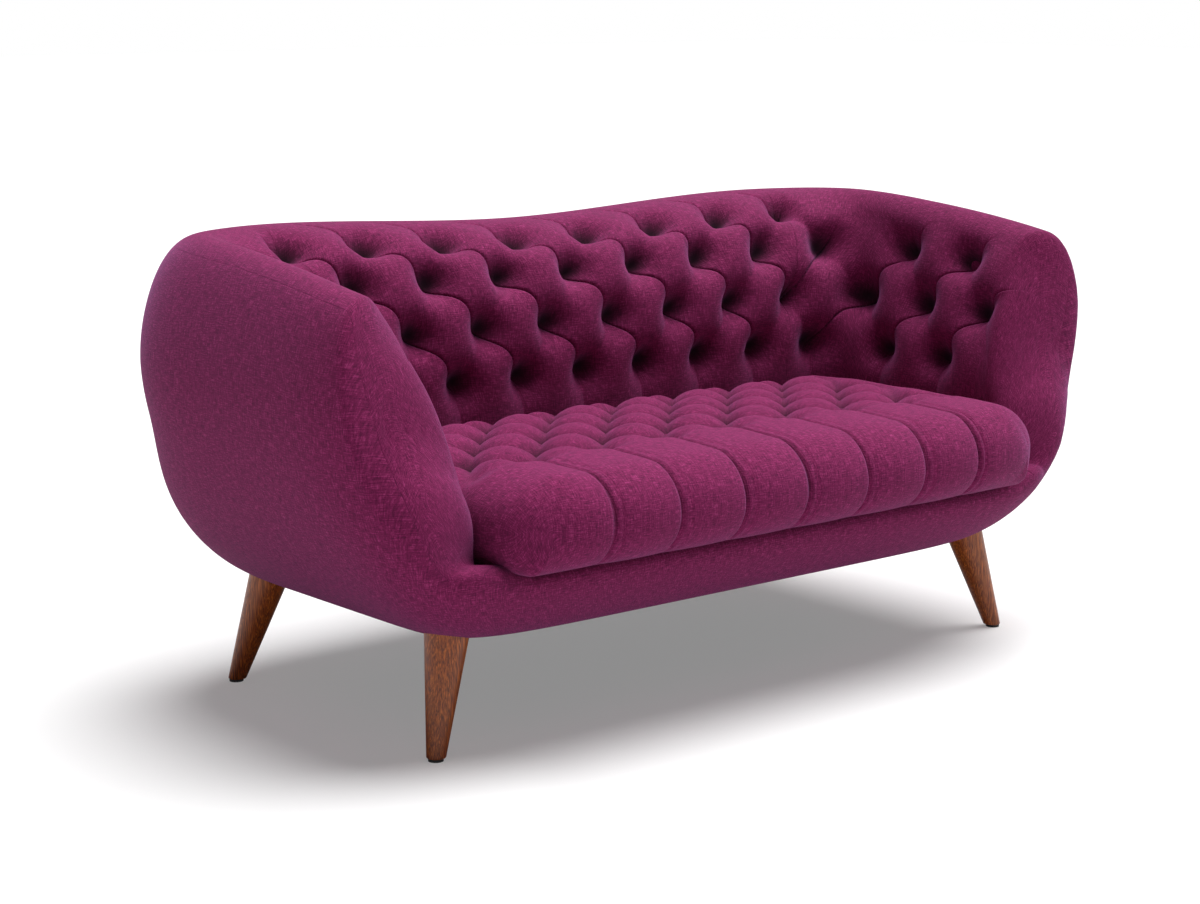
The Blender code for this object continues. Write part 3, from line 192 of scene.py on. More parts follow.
for grain, (low, high), code in ((rings, (-1.0, 1.0), "9E4A16"), (pores, PORE_SHARES, "632807")):
    share = add_node(walnut, "MapRange", {"Value": grain.outputs[0], "From Min": low, "From Max": high})
    mixed = add_node(walnut, "Mix", {0: share.outputs[0], 6: linear(code), 7: wood}, data_type="RGBA")
    wood = mixed.outputs[2]
join(walnut, wood, shader.inputs["Base Color"])
raised = add_node(walnut, "Bump", {"Height": pores.outputs[0], "Strength": PORE_RELIEF,
                                   "Distance": PORE_RISE})
join(walnut, raised.outputs[0], shader.inputs["Normal"])
print("walnut nodes", len(walnut.node_tree.nodes))

# %% [markdown]
# Inside the sofa are sawn beech rails, birch plywood ribs, hardboard linings, foam, felt, cloth, steel and
# nylon. They show only from below or with the cushion out, but each gets the grain or grit of the real
# thing. They share one recipe: a noise stretched to the grain's size mixes two colours and raises the
# surface a little.

# %% Materials of the frame
GRAIN_LOW, GRAIN_HIGH, GRAIN_RELIEF = 0.35, 0.65, 0.5


def grained_material(name, dark, light, grain, roughness, rise, metallic=0.0):
    """A finish whose two colours mix by a noise, its grain along X, Y and Z and its rise in millimetres"""
    made, shader = start_material(name, roughness, metallic)
    place = add_node(made, "TexCoord")
    laid = add_node(made, "Mapping", {0: place.outputs["Object"],
                                      3: [1 / (side * MILLIMETRE) for side in grain]})
    noise = add_node(made, "TexNoise", {"Vector": laid.outputs[0], "Scale": 1.0, "Detail": 4.0})
    share = add_node(made, "MapRange", {"Value": noise.outputs[0], "From Min": GRAIN_LOW,
                                        "From Max": GRAIN_HIGH})
    mixed = add_node(made, "Mix", {0: share.outputs[0], 6: linear(dark), 7: linear(light)}, data_type="RGBA")
    join(made, mixed.outputs[2], shader.inputs["Base Color"])
    raised = add_node(made, "Bump", {"Height": noise.outputs[0], "Strength": GRAIN_RELIEF,
                                     "Distance": rise * MILLIMETRE})
    join(made, raised.outputs[0], shader.inputs["Normal"])
    return made


RECIPES = {
    # Rails lie along X: long grain that way
    "sawn_beech": ("sawn_beech", "B4864F", "D2AC78", (60, 2.5, 2.5), 0.65, 0.2),
    "birch_plywood": ("birch_plywood_sanded", "C49C66", "DFC194", (40, 40, 1.4), 0.6, 0.1),
    "hardboard": ("tempered_hardboard", "5F4329", "86653F", (2, 2, 2), 0.75, 0.15),
    "polyurethane_foam": ("open_cell_foam", "D9CB9C", "EFE7C6", (1.5, 1.5, 1.5), 0.95, 0.6),
    "grey_felt": ("pressed_grey_felt", "4E4E50", "77777A", (3, 3, 3), 0.97, 0.5),
    "black_lining_cloth": ("spunbonded_black_cloth", "0E0E10", "242427", (2, 2, 2), 0.85, 0.2),
    "black_spring_steel": ("blackened_spring_steel", "1B1B1D", "38383B", (3, 3, 3), 0.42, 0.05, 0.9),
    "zinc_plated_steel": ("zinc_plated_steel", "8D9297", "AEB3B8", (8, 8, 8), 0.35, 0.05, 1.0),
    "black_nylon": ("moulded_black_nylon", "111112", "1E1E20", (1, 1, 1), 0.5, 0.05),
}
FINISHES = {slot: grained_material(*recipe) for slot, recipe in RECIPES.items()}
FINISHES.update(oiled_walnut=walnut, woven_magenta_wool=wool)
for row in frame["record"]["subparts"]:
    node = NODES[row["node"]]
    node.data.materials.clear()
    node.data.materials.append(FINISHES[row["material_slot"]])
print("finishes", len(FINISHES))

# %% [markdown]
# The sofa's body is an egg-shaped tub. One cross-section is swept round the plan: up the outside, over the
# padded rim and down the inside. psi is the angle round the plan, and v the place along the section, 0 to 1
# outside, 1 to 2 over the rim, 2 to 3 inside. The same formulas shape the CAD solids, so the fine cloth lies
# exactly where they are.

# %% Sizes of the tub
# The outside: how far it reaches at its widest and at the base, the height of the belly, and above that how
# far the sides tuck in and the front leans out
HALF_WIDTH, FRONT_REACH, BACK_REACH = 0.785, 0.420, 0.450
UNDERSIDE_Z = 0.165
BASE_HALF_WIDTH, BASE_FRONT_REACH, BASE_BACK_REACH = 0.548, 0.272, 0.338
BELLY_Z, FRONT_BELLY_Z, BACK_BELLY_Z = 0.535, 0.385, 0.500
SIDE_TUCK, FRONT_LEAN, BACK_TUCK = 0.065, 0.085, 0.030
UPPER_RISE, LEAN_RISE = 0.200, 0.300
TUCK_POWER, LEAN_POWER, PULL_LIMIT = 2, 1.6, 1.2
SIDE_ROUNDNESS, FRONT_ROUNDNESS, BACK_ROUNDNESS = 1.65, 1.70, 2.10
# Its corners in plan: squarer at the base than higher up, and the turn from the front's form to the back's
SQUARENESS_RISE, PLAN_BLEND = 0.290, 0.35
FRONT_SQUARENESS_LOW, FRONT_SQUARENESS_HIGH = 8.0, 5.6
BACK_SQUARENESS_LOW, BACK_SQUARENESS_HIGH = 6.5, 3.8
# The rim: its line in plan, its height with the dip at the back, the arms' fall and the sweep to the lip
RIM_HALF_WIDTH, RIM_FRONT_REACH, RIM_BACK_REACH = 0.700, 0.392, 0.310
RIM_FRONT_SQUARENESS, RIM_BACK_SQUARENESS = 3.6, 4.5
RIM_BACK_Z, RIM_CORNER_RISE, RIM_CORNER_X = 0.705, 0.021, 0.550
DIP_START, DIP_LENGTH = 0.55, 0.60
ARM_FALL, ARM_FALL_START_Y, ARM_FALL_LENGTH = 0.042, 0.220, 0.420
SWEEP_START_Y, SWEEP_LEAD, SWEEP_LENGTH = -0.170, 0.060, 0.130
FOOT_RISE, FOOT_START, FOOT_LENGTH = 0.022, 0.200, 0.090
LIP_Z, LIP_DROP = 0.275, 0.080
# The rim's roll: how deep it reaches outside and inside, how full it is, and where the seam runs over it
RIM_OUTER_DEPTH, RIM_OUTER_LIMIT, RIM_HANDLE = 0.105, 0.55, 1.39
BACK_RIM_INNER_DEPTH, ARM_RIM_INNER_DEPTH, LIP_INNER_DEPTH = 0.060, 0.150, 0.025
ARM_RIM_START_Y, ARM_RIM_LENGTH = 0.110, 0.360
SEAM, SEAM_GAP = 1.30, 0.0016
# The inside wall: its reaches, above the seat line the arms' flare and the back's recline, and its foot
SEAT_LINE_Z = 0.457
INNER_HALF_WIDTH, INNER_FLARE, FLARE_SOFTNESS = 0.560, 0.40, 0.060
INNER_BACK_REACH, INNER_RECLINE, RECLINE_RISE, RECLINE_POWER = 0.105, 0.115, 0.280, 3
INNER_FRONT_SQUARENESS, INNER_BACK_SQUARENESS = 14.0, 6.5
NOSE_INNER_REACH, LIP_INNER_REACH, NOSE_FOOT_Z = 0.375, 0.315, 0.360
WELL_FLOOR_Z, LIP_PAD_FOOT_Z = 0.300, 0.2478
# The padding, the hem of the cover under the base, the crowding of grid lines low down, and a step for slopes
COVER_THICKNESS, PAD_THICKNESS, NOSE_PAD_THICKNESS = 0.012, 0.052, 0.012
COVER_TURN_UNDER = 0.036
CLIMB_POWER = 1.35
SLOPE_STEP = 0.0015
print("rim", RIM_BACK_Z, "belly", BELLY_Z)


# %% The tub's cross-section
def mix(first, second, share):
    """A value so far on the way from the first to the second"""
    return first + (second - first) * share


def smooth(share):
    """Ease from 0 to 1"""
    share = np.clip(share, 0, 1)
    return share * share * (3 - 2 * share)


def swell(share, roundness):
    """The outline of a rounded quarter"""
    share = np.clip(share, 0, 1)
    return (1 - (1 - share) ** roundness) ** (1 / roundness)


def ring(psi, half_width, front, back, front_squareness, back_squareness):
    """A rounded rectangle in plan"""
    front_share = 0.5 - 0.5 * np.tanh(np.sin(psi) / PLAN_BLEND)
    power = mix(back_squareness, front_squareness, front_share)
    size = (np.abs(np.cos(psi)) ** power + np.abs(np.sin(psi)) ** power) ** (-1 / power)
    return (half_width * size * np.cos(psi),
            np.where(np.sin(psi) < 0, front, back) * size * np.sin(psi))


def outside(psi, z):
    """A point of the tub's outside at height z"""
    def reach(base, widest, belly_z, roundness):
        return mix(base, widest, swell((z - UNDERSIDE_Z) / (belly_z - UNDERSIDE_Z), roundness))

    tuck = np.clip((z - BELLY_Z) / UPPER_RISE, 0, PULL_LIMIT) ** TUCK_POWER
    lean = np.clip((z - FRONT_BELLY_Z) / LEAN_RISE, 0, PULL_LIMIT) ** LEAN_POWER
    half = reach(BASE_HALF_WIDTH, HALF_WIDTH, BELLY_Z, SIDE_ROUNDNESS) - SIDE_TUCK * tuck
    front = reach(BASE_FRONT_REACH, FRONT_REACH, FRONT_BELLY_Z, FRONT_ROUNDNESS) + FRONT_LEAN * lean
    back = reach(BASE_BACK_REACH, BACK_REACH, BACK_BELLY_Z, BACK_ROUNDNESS) - BACK_TUCK * tuck
    share = smooth((z - UNDERSIDE_Z) / SQUARENESS_RISE)
    x, y = ring(psi, half, front, back, mix(FRONT_SQUARENESS_LOW, FRONT_SQUARENESS_HIGH, share),
                mix(BACK_SQUARENESS_LOW, BACK_SQUARENESS_HIGH, share))
    return np.stack([x, y, z + 0 * psi], -1)


def rim_plan(psi):
    """Where the top of the rim runs in plan"""
    return ring(psi, RIM_HALF_WIDTH, RIM_FRONT_REACH, RIM_BACK_REACH, RIM_FRONT_SQUARENESS,
                RIM_BACK_SQUARENESS)


def rim_height(psi):
    """Height of the rim: a shallow dip at the back, level arms, and a sweep down to the front lip"""
    x, y = rim_plan(psi)
    corner_z = RIM_BACK_Z + RIM_CORNER_RISE
    back = RIM_BACK_Z + RIM_CORNER_RISE * smooth(np.abs(x) / RIM_CORNER_X)
    arm = corner_z - ARM_FALL * (np.maximum(ARM_FALL_START_Y - y, 0) / ARM_FALL_LENGTH) ** 2
    top = mix(arm, back, smooth((y / ARM_FALL_START_Y - DIP_START) / DIP_LENGTH))
    run = np.hypot(np.maximum(RIM_HALF_WIDTH - np.abs(x), 0), np.maximum(SWEEP_START_Y - y, 0))
    run = np.where(y < SWEEP_START_Y, run, 0)
    swept = smooth((run - SWEEP_LEAD) / SWEEP_LENGTH)
    # The foot of each arm nose is plump, and hugs the corner of the cushion
    foot = FOOT_RISE * swept * (1 - smooth((run - FOOT_START) / FOOT_LENGTH))
    return mix(top, LIP_Z, swept) + foot


def lip_share(psi):
    """0 along the back and arms, 1 where the rim has swept down to the front lip"""
    low = RIM_BACK_Z - LIP_DROP
    return smooth((low - rim_height(psi)) / (low - LIP_Z))


def inside(psi, z):
    """A point of the inside wall, which reclines at the back and flares at the arms"""
    above = z - SEAT_LINE_Z
    above = (above + np.hypot(above, FLARE_SOFTNESS)) / 2
    half = INNER_HALF_WIDTH + INNER_FLARE * above
    back = INNER_BACK_REACH + INNER_RECLINE * (above / RECLINE_RISE) ** RECLINE_POWER
    front_share = smooth((z - LIP_PAD_FOOT_Z) / (NOSE_FOOT_Z - LIP_PAD_FOOT_Z))
    front = mix(LIP_INNER_REACH, NOSE_INNER_REACH, front_share)
    x, y = ring(psi, half, front, back, INNER_FRONT_SQUARENESS, INNER_BACK_SQUARENESS)
    return np.stack([x, y, z + 0 * psi], -1)


def rim_ends(psi):
    """Heights at which the rim's roll leaves the outside and reaches the inside wall"""
    top = rim_height(psi)
    outer = top - np.minimum(RIM_OUTER_DEPTH, RIM_OUTER_LIMIT * (top - UNDERSIDE_Z))
    arm_share = smooth((ARM_RIM_START_Y - rim_plan(psi)[1]) / ARM_RIM_LENGTH)
    depth = mix(BACK_RIM_INNER_DEPTH, ARM_RIM_INNER_DEPTH, arm_share)
    return outer, top - mix(depth, LIP_INNER_DEPTH, lip_share(psi))


def inside_foot(psi):
    """Height of the lower edge of the inside padding"""
    return mix(WELL_FLOOR_Z, LIP_PAD_FOOT_Z, lip_share(psi))


def surface(psi, v):
    """Points of the tub's surface at the places v along the cross-sections at psi"""
    top = rim_height(psi)
    outer_z, inner_z = rim_ends(psi)
    low = outside(psi, mix(UNDERSIDE_Z, outer_z, np.clip(v, 0, 1) ** CLIMB_POWER))
    wall = inside(psi, mix(inner_z, inside_foot(psi), np.clip(v - 2, 0, 1)))
    start, end = outside(psi, outer_z), inside(psi, inner_z)
    out_slope = (outside(psi, outer_z + SLOPE_STEP) - start) / SLOPE_STEP
    in_slope = (inside(psi, inner_z + SLOPE_STEP) - end) / SLOPE_STEP
    out_handle = start + out_slope * (RIM_HANDLE * (top - outer_z))[..., None]
    in_handle = end + in_slope * (RIM_HANDLE * (top - inner_z))[..., None]
    t = np.clip(v - 1, 0, 1)[..., None]
    roll = ((1 - t) ** 3 * start + 3 * t * (1 - t) ** 2 * out_handle
            + 3 * t * t * (1 - t) * in_handle + t ** 3 * end)
    place = v[..., None]
    return np.where(place <= 1, low, np.where(place >= 2, wall, roll))


def normals_of(psi, v):
    """Unit normals of the surface, pointing away from the padding"""
    along = surface(psi, np.minimum(v + SLOPE_STEP, 3)) - surface(psi, np.maximum(v - SLOPE_STEP, 0))
    around = surface(psi + SLOPE_STEP, v) - surface(psi - SLOPE_STEP, v)
    normal = np.cross(around, along)
    return normal / np.linalg.norm(normal, axis=-1)[..., None]


print("rim at the middle of the back", round(float(rim_height(np.array([math.pi / 2]))[0]), 3))

# %% [markdown]
# A padded panel is two sheets, the cloth that shows and a plain back, joined round their edges into one
# closed body. The back can be coarse: it takes only every few rows and columns of the fine grid. Each panel
# keeps a UV map named cloth, in metres along and across, that the weave follows.

# %% Padded panels
SHARP_ANGLE = math.radians(60)


def nearest(picks, count):
    """For each of so many lines, which of the picked lines is nearest"""
    return [min(range(len(picks)), key=lambda k: abs(picks[k] - i)) for i in range(count)]


def padded_panel(name, outer, inner, cloth, stride, closed=False, painted_shade_marks=None, finish=wool):
    """Join a grid of outer points and a thinned grid of inner points into one closed padded body"""
    rows, columns = outer.shape[:2]
    row_picks = sorted({*range(0, rows, stride), rows - 1})
    column_picks = sorted({*range(0, columns, stride)} | (set() if closed else {columns - 1}))
    near_row, near_column = nearest(row_picks, rows), nearest(column_picks, columns)
    thin = inner[np.ix_(row_picks, column_picks)]
    points = np.concatenate([outer.reshape(-1, 3), thin.reshape(-1, 3)])
    start, wide, open_step = rows * columns, len(column_picks), 0 if closed else 1
    faces, corners = [], []

    def add(face, marks):
        """Add a face without corners that coincide, and each corner's place on the cloth"""
        kept = [k for k in range(len(face)) if face[k] != face[k - 1]]
        if len(kept) > 2:
            faces.append([face[k] for k in kept])
            corners.extend(marks[k] for k in kept)

    def hem(line, thin_line, marks, backwards):
        """Close the gap between the two sheets along one edge"""
        for step in range(len(line) - 1):
            a, b = (step + 1, step) if backwards else (step, step + 1)
            add([line[b], line[a], thin_line[a], thin_line[b]], [marks[b], marks[a], marks[a], marks[b]])

    for i in range(rows - 1):
        for j in range(columns - open_step):
            k = (j + 1) % columns
            add([i * columns + j, i * columns + k, (i + 1) * columns + k, (i + 1) * columns + j],
                [(i, j), (i, j + 1), (i + 1, j + 1), (i + 1, j)])
    for i, (row, next_row) in enumerate(zip(row_picks, row_picks[1:])):
        for j in range(wide - open_step):
            k = (j + 1) % wide
            column, next_column = column_picks[j], columns if k < j else column_picks[k]
            add([start + i * wide + j, start + (i + 1) * wide + j, start + (i + 1) * wide + k,
                 start + i * wide + k],
                [(row, column), (next_row, column), (next_row, next_column), (row, next_column)])
    edge = range(columns + 1 - open_step)
    for i, back_row in ((0, 0), (rows - 1, len(row_picks) - 1)):
        hem([i * columns + j % columns for j in edge],
            [start + back_row * wide + near_column[j % columns] for j in edge],
            [(i, j) for j in edge], backwards=i > 0)
    edge = range(rows)
    for j, back_column in () if closed else ((0, 0), (columns - 1, wide - 1)):
        hem([i * columns + j for i in edge],
            [start + near_row[i] * wide + back_column for i in edge],
            [(i, j) for i in edge], backwards=j == 0)
    mesh = bpy.data.meshes.new(name)
    mesh.from_pydata(points.tolist(), [], faces)
    layer = mesh.uv_layers.new(name="cloth")
    at = np.array(corners)
    layer.data.foreach_set("uv", cloth[at[:, 0], at[:, 1]].astype(np.float32).ravel())
    # Painted shade: each point of the cloth keeps how much its colour is darkened, stored as the attribute
    # tuck
    if painted_shade_marks is not None:
        marks = np.zeros(len(points), np.float32)
        marks[:start] = painted_shade_marks.ravel()
        mesh.attributes.new("tuck", "FLOAT", "POINT").data.foreach_set("value", marks)
    bm = bmesh.new()
    bm.from_mesh(mesh)
    bmesh.ops.recalc_face_normals(bm, faces=bm.faces)
    bm.to_mesh(mesh)
    open_edges = sum(1 for edge in bm.edges if not edge.is_manifold)
    bm.free()
    mesh.shade_smooth()
    mesh.set_sharp_from_angle(angle=SHARP_ANGLE)
    mesh.materials.append(finish)
    made = bpy.data.objects.new(name, mesh)
    bpy.context.scene.collection.objects.link(made)
    print(name, "faces", len(faces), "open edges", open_edges)
    return made


def length_along(points):
    """The length run so far at each point, down each column of a grid or along one line of points"""
    steps = np.linalg.norm(np.diff(points, axis=0), axis=-1)
    return np.concatenate([np.zeros_like(steps[:1]), np.cumsum(steps, axis=0)])


def cloth_map_of(points):
    """Where each point lies on the flat cloth: metres across from the middle column, and down from the top"""
    across, down = length_along(points.swapaxes(0, 1)).T, length_along(points)
    middle = points.shape[1] // 2
    return np.stack([across - across[:, middle:middle + 1], down], -1)


def dress(piece, body, slot, *nodes):
    """Let a finished piece ride with its body and stand for its CAD nodes; slot is not used"""
    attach(piece, body)
    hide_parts(*nodes)


# %% [markdown]
# Tufts are laid out on the inside wall by run, the distance along the wall from the middle of the back, and
# by height, measured along the cloth. These helpers turn run and height into psi and v. The runs are
# measured on the wall at the height of one row of tufts.

# %% Laying out the inside wall
TUFT_COLUMN, TUFT_ROW, TUFT_ROW_Z = 0.137, 0.089, 0.547
FINE_PSI = np.linspace(-math.pi / 2, math.pi * 1.5, 6001)
wall = inside(FINE_PSI, np.full_like(FINE_PSI, TUFT_ROW_Z))
FINE_RUN = length_along(wall[:, :2])
FINE_RUN -= np.interp(math.pi / 2, FINE_PSI, FINE_RUN)
ROLL_PLACES = np.linspace(1, 2, 61)


def psi_at(run):
    """The angle round the plan at a distance along the inside wall, counted to the sofa's right"""
    return np.interp(-run, FINE_RUN, FINE_PSI)


def roll_heights(psi):
    """How high along the cloth each place of the rim's roll lies, for each psi"""
    points = np.array([surface(psi, np.full_like(psi, v)) for v in ROLL_PLACES])
    return rim_ends(psi)[1] + length_along(points[::-1])[::-1]


def places_for(psi, heights):
    """For a column of heights at each psi, the places v on the roll or the wall"""
    table, inner_z, foot = roll_heights(psi), rim_ends(psi)[1], inside_foot(psi)
    v = np.empty_like(heights)
    for j in range(len(psi)):
        column = heights[:, j]
        on_roll = np.interp(-column, -table[:, j], ROLL_PLACES)
        on_wall = np.minimum(2 + (inner_z[j] - column) / (inner_z[j] - foot[j]), 3)
        v[:, j] = np.where(column > inner_z[j], on_roll, on_wall)
    return np.maximum(v, SEAM + SEAM_GAP)


def height_at_seam(psi):
    """Height along the cloth at which the pads meet the outer cover"""
    table = roll_heights(psi)
    return np.array([np.interp(SEAM + SEAM_GAP, ROLL_PLACES, table[:, j]) for j in range(len(psi))])


print("inside wall runs", round(float(FINE_RUN[0]), 3), "to", round(float(FINE_RUN[-1]), 3))

# %% [markdown]
# Diamond tufting folds the spare cloth between two tufts into a pleat. On this sofa the pleats that run down
# to the sofa's right are crisp: the lower pad bulges over the next one like a fish scale, and leaves a thin
# dark line that bows outward, its crease deepened with painted shade. The other way the cloth only dips in a
# soft valley. The right arm is the mirror image. alpha and beta count the diamonds along the two diagonals,
# and tufts sit where both are whole. Each point gets a depth below the crown, a slide along the cloth that
# makes the overhang, and painted shade in its pits and creases.

# %% Tufts and pleats
TUFT_DEPTH = 0.050
CRISP_DEPTH, CRISP_ROUNDNESS = 0.0075, 0.45
SOFT_DEPTH, SOFT_ROUNDNESS = 0.0100, 1.0
PIT_OUT, PIT_UP, PIT_RADIUS, PIT_SHARPNESS = 0.004, 0.007, 0.0290, 1.9
# The line of a pleat: its bow, its crease, and how far the cloth below slides over it, at what distance and
# over what width
PLEAT_BOW = 0.085
CREASE_DEPTH, CREASE_WIDTH, CREASE_SHARPNESS = 0.0040, 0.0018, 1.5
OVERHANG, OVERHANG_PLACE, OVERHANG_WIDTH = 0.0025, 0.0055, 0.005
# The painted shade in each tuck, a dark patch in the cloth's colour, lies a little above its pit
SHADE_PATCH_OUT, SHADE_PATCH_UP, SHADE_PATCH_RADIUS, SHADE_PATCH_SHARPNESS = 0.007, 0.012, 0.0200, 2.5
CREASE_SHADE = 0.7
DIAGONAL = np.array([TUFT_COLUMN, 2 * TUFT_ROW]) / math.hypot(TUFT_COLUMN, 2 * TUFT_ROW)
PLEAT_SPACING = 1 / math.hypot(1 / TUFT_COLUMN, 0.5 / TUFT_ROW)
# Where tufts end, in columns and rows: past the corner tuft the arm has one row less
CORNER_TUFT, TOP_ROW, LOW_ROW, LAST_TUFT, TUFT_FADE = 3.55, 2.05, -1.35, 6.60, 0.35
BACK_ROWS, ARM_ROWS, FIRST_ROW = 2, 1, -1
CRISP_FADE, CRISP_ARM_FADE, SOFT_FADE = 1.1, 0.7, 0.8
FOLD_DEPTH, FOLD_ROUNDNESS = 0.014, 0.8


def tufting(run, height, mirror):
    """Depth below the crown, slides along the wall and up it, and how much painted shade darkens the cloth in
    pits and creases
    """
    column, row = run / TUFT_COLUMN * mirror, (height - TUFT_ROW_Z) / TUFT_ROW
    away = np.abs(column)
    corner = smooth((away - CORNER_TUFT) / TUFT_FADE)
    kept = 1 - smooth((away - LAST_TUFT) / TUFT_FADE)
    alpha, beta = column + row / 2 + 0.5, column - row / 2 + 0.5
    bowed = alpha - PLEAT_BOW * np.sin(math.pi * beta) ** 2
    off_line = (bowed - np.round(bowed)) * PLEAT_SPACING
    between = np.abs(np.sin(math.pi * beta))
    # Above the top row of tufts the pleats run on over the crest and fade; low down they end in upright folds
    top = TOP_ROW - corner
    below = 1 - smooth((row - LOW_ROW) / (2 * TUFT_FADE))
    fade = (1 - smooth((row - top) / mix(CRISP_FADE, CRISP_ARM_FADE, corner))) * (1 - below)
    soft_fade = (1 - smooth((row - top) / SOFT_FADE)) * (1 - below)
    crisp_side = CRISP_DEPTH * fade * (1 - np.abs(np.sin(math.pi * bowed)) ** CRISP_ROUNDNESS)
    soft_side = SOFT_DEPTH * soft_fade * (1 - between ** SOFT_ROUNDNESS)
    crease = np.exp(-np.abs(off_line / CREASE_WIDTH) ** CREASE_SHARPNESS) * fade
    depth = crisp_side + soft_side + CREASE_DEPTH * crease
    # Each tuft is pulled into a deep pit, whose funnel may reach the rows above and below
    pit, shaded = np.zeros_like(row), np.zeros_like(row)
    for step in (-1, 0, 1):
        near_row = np.round(row) + step
        near_column = np.round(column - 0.5 - near_row / 2) + 0.5 + near_row / 2
        aside, above = (column - near_column) * TUFT_COLUMN, (row - near_row) * TUFT_ROW
        last_row = np.where(np.abs(near_column) > CORNER_TUFT, ARM_ROWS, BACK_ROWS)
        real = (near_row <= last_row) & (near_row >= FIRST_ROW) & (np.abs(near_column) < LAST_TUFT)
        funnel = real * np.exp(-(np.hypot(aside - PIT_OUT, above - PIT_UP) / PIT_RADIUS) ** PIT_SHARPNESS)
        pit = pit + funnel * (1 - pit)
        # Painted shade: a dark patch a little above each pit
        near = np.hypot(aside - SHADE_PATCH_OUT, above - SHADE_PATCH_UP) / SHADE_PATCH_RADIUS
        shaded = np.maximum(shaded, real * np.exp(-near ** SHADE_PATCH_SHARPNESS))
    depth = depth + (TUFT_DEPTH - CRISP_DEPTH - SOFT_DEPTH) * pit
    upright = FOLD_DEPTH * (1 - np.abs(np.sin(math.pi * column)) ** FOLD_ROUNDNESS)
    depth = kept * (depth + upright * below)
    # Painted shade also lies along each crease, laid into the cloth's colour
    tuck = kept * np.clip(shaded + CREASE_SHADE * crease ** 2, 0, 1)
    # The cloth below a pleat swells over its line
    over = np.exp(-((off_line + OVERHANG_PLACE) / OVERHANG_WIDTH) ** 2)
    slide = OVERHANG * over * fade * between * (1 - pit) * kept
    return depth, slide * DIAGONAL[0] * mirror, slide * DIAGONAL[1], tuck


print("tuft pitch", TUFT_COLUMN, TUFT_ROW)

# %% [markdown]
# Each inside pad is a grid of points 2.6 mm apart, whose lines draw closer together where pleats run. At its
# sewn edges the cloth rolls in a little, which gives the seams their fine shadow.

# %% Inside pads
PAD_GRID, PAD_STRIDE = 0.0026, 6
SEAM_ROLL, SEAM_ROLL_DEPTH = 0.003, 0.0002
JOINT_GAP = 0.0003
EDGE_CALM = 0.030
CROWDING = 0.5
# In tuft columns from the middle of the back: where the padding thins towards the nose, and where pads end
THINS_FROM, THIN_AT = 6.5, 7.3
BACK_END, ARM_END = 3.5 * TUFT_COLUMN, 7.85 * TUFT_COLUMN


def rolled_edge(distance):
    """How far the cloth rolls in at a distance from a sewn edge"""
    return SEAM_ROLL_DEPTH * (1 - np.sqrt(1 - (1 - np.clip(distance / SEAM_ROLL, 0, 1)) ** 2))


def inside_pad(name, low_run, high_run, mirror, node):
    """A tufted pad on the inside wall between two runs"""
    count = int(round((high_run - low_run) / PAD_GRID))
    run = np.linspace(low_run + JOINT_GAP, high_run - JOINT_GAP, count)
    psi = psi_at(run)
    seam, foot = height_at_seam(psi), inside_foot(psi)
    lines = int(round(float(np.max(seam - foot)) / PAD_GRID))
    plain = mix(seam, foot, np.linspace(0, 1, lines)[:, None])
    runs = np.broadcast_to(run, plain.shape)
    # How far each point is from the nearest sewn edge: all but the foot
    sewn = np.minimum(seam - plain, np.minimum(runs - low_run, high_run - runs))
    # Grid lines crowd towards the crisp pleats, and stay in their places at the edges
    calm = smooth(np.minimum(sewn, plain - foot) / EDGE_CALM)
    alpha = runs / TUFT_COLUMN * mirror + (plain - TUFT_ROW_Z) / TUFT_ROW / 2 + 0.5
    crowd = CROWDING * np.sin(2 * math.pi * alpha) / (4 * math.pi) * calm
    tuft_runs, tuft_heights = runs - crowd * TUFT_COLUMN * mirror, plain - crowd * 2 * TUFT_ROW
    # tufting also gives the painted shade of the pits and creases
    depth, along, up, painted_shade_marks = tufting(tuft_runs, tuft_heights, mirror)
    v = places_for(psi, tuft_heights + up * calm)
    fine_psi = psi_at(tuft_runs + along * calm)
    points, normals = surface(fine_psi, v), normals_of(fine_psi, v)
    outer = points - normals * (depth + rolled_edge(sewn))[..., None]
    swollen = smooth((seam - plain) / (seam - rim_ends(psi)[1]))
    along_arm = smooth((THIN_AT - np.abs(run) / TUFT_COLUMN) / (THIN_AT - THINS_FROM))
    thick = mix(NOSE_PAD_THICKNESS, PAD_THICKNESS, swollen * along_arm)
    back_psi, back_v = np.broadcast_to(psi, plain.shape), places_for(psi, plain)
    inner = surface(back_psi, back_v) - normals_of(back_psi, back_v) * thick[..., None]
    made = padded_panel(name, outer, inner, cloth_map_of(points), PAD_STRIDE, painted_shade_marks=painted_shade_marks)
    dress(made, "sofa", "woven_magenta_wool", node)


inside_pad("tufted_back", -BACK_END, BACK_END, 1, "inside_back_pad")
inside_pad("tufted_left_arm", -ARM_END, -BACK_END, 1, "inside_left_arm_pad")
inside_pad("tufted_right_arm", BACK_END, ARM_END, -1, "inside_right_arm_pad")

# %% [markdown]
# Between the arm noses the padding runs on as a low lip in front of the cushion. It is plain cloth over thin
# wadding, so its grid can be coarser.

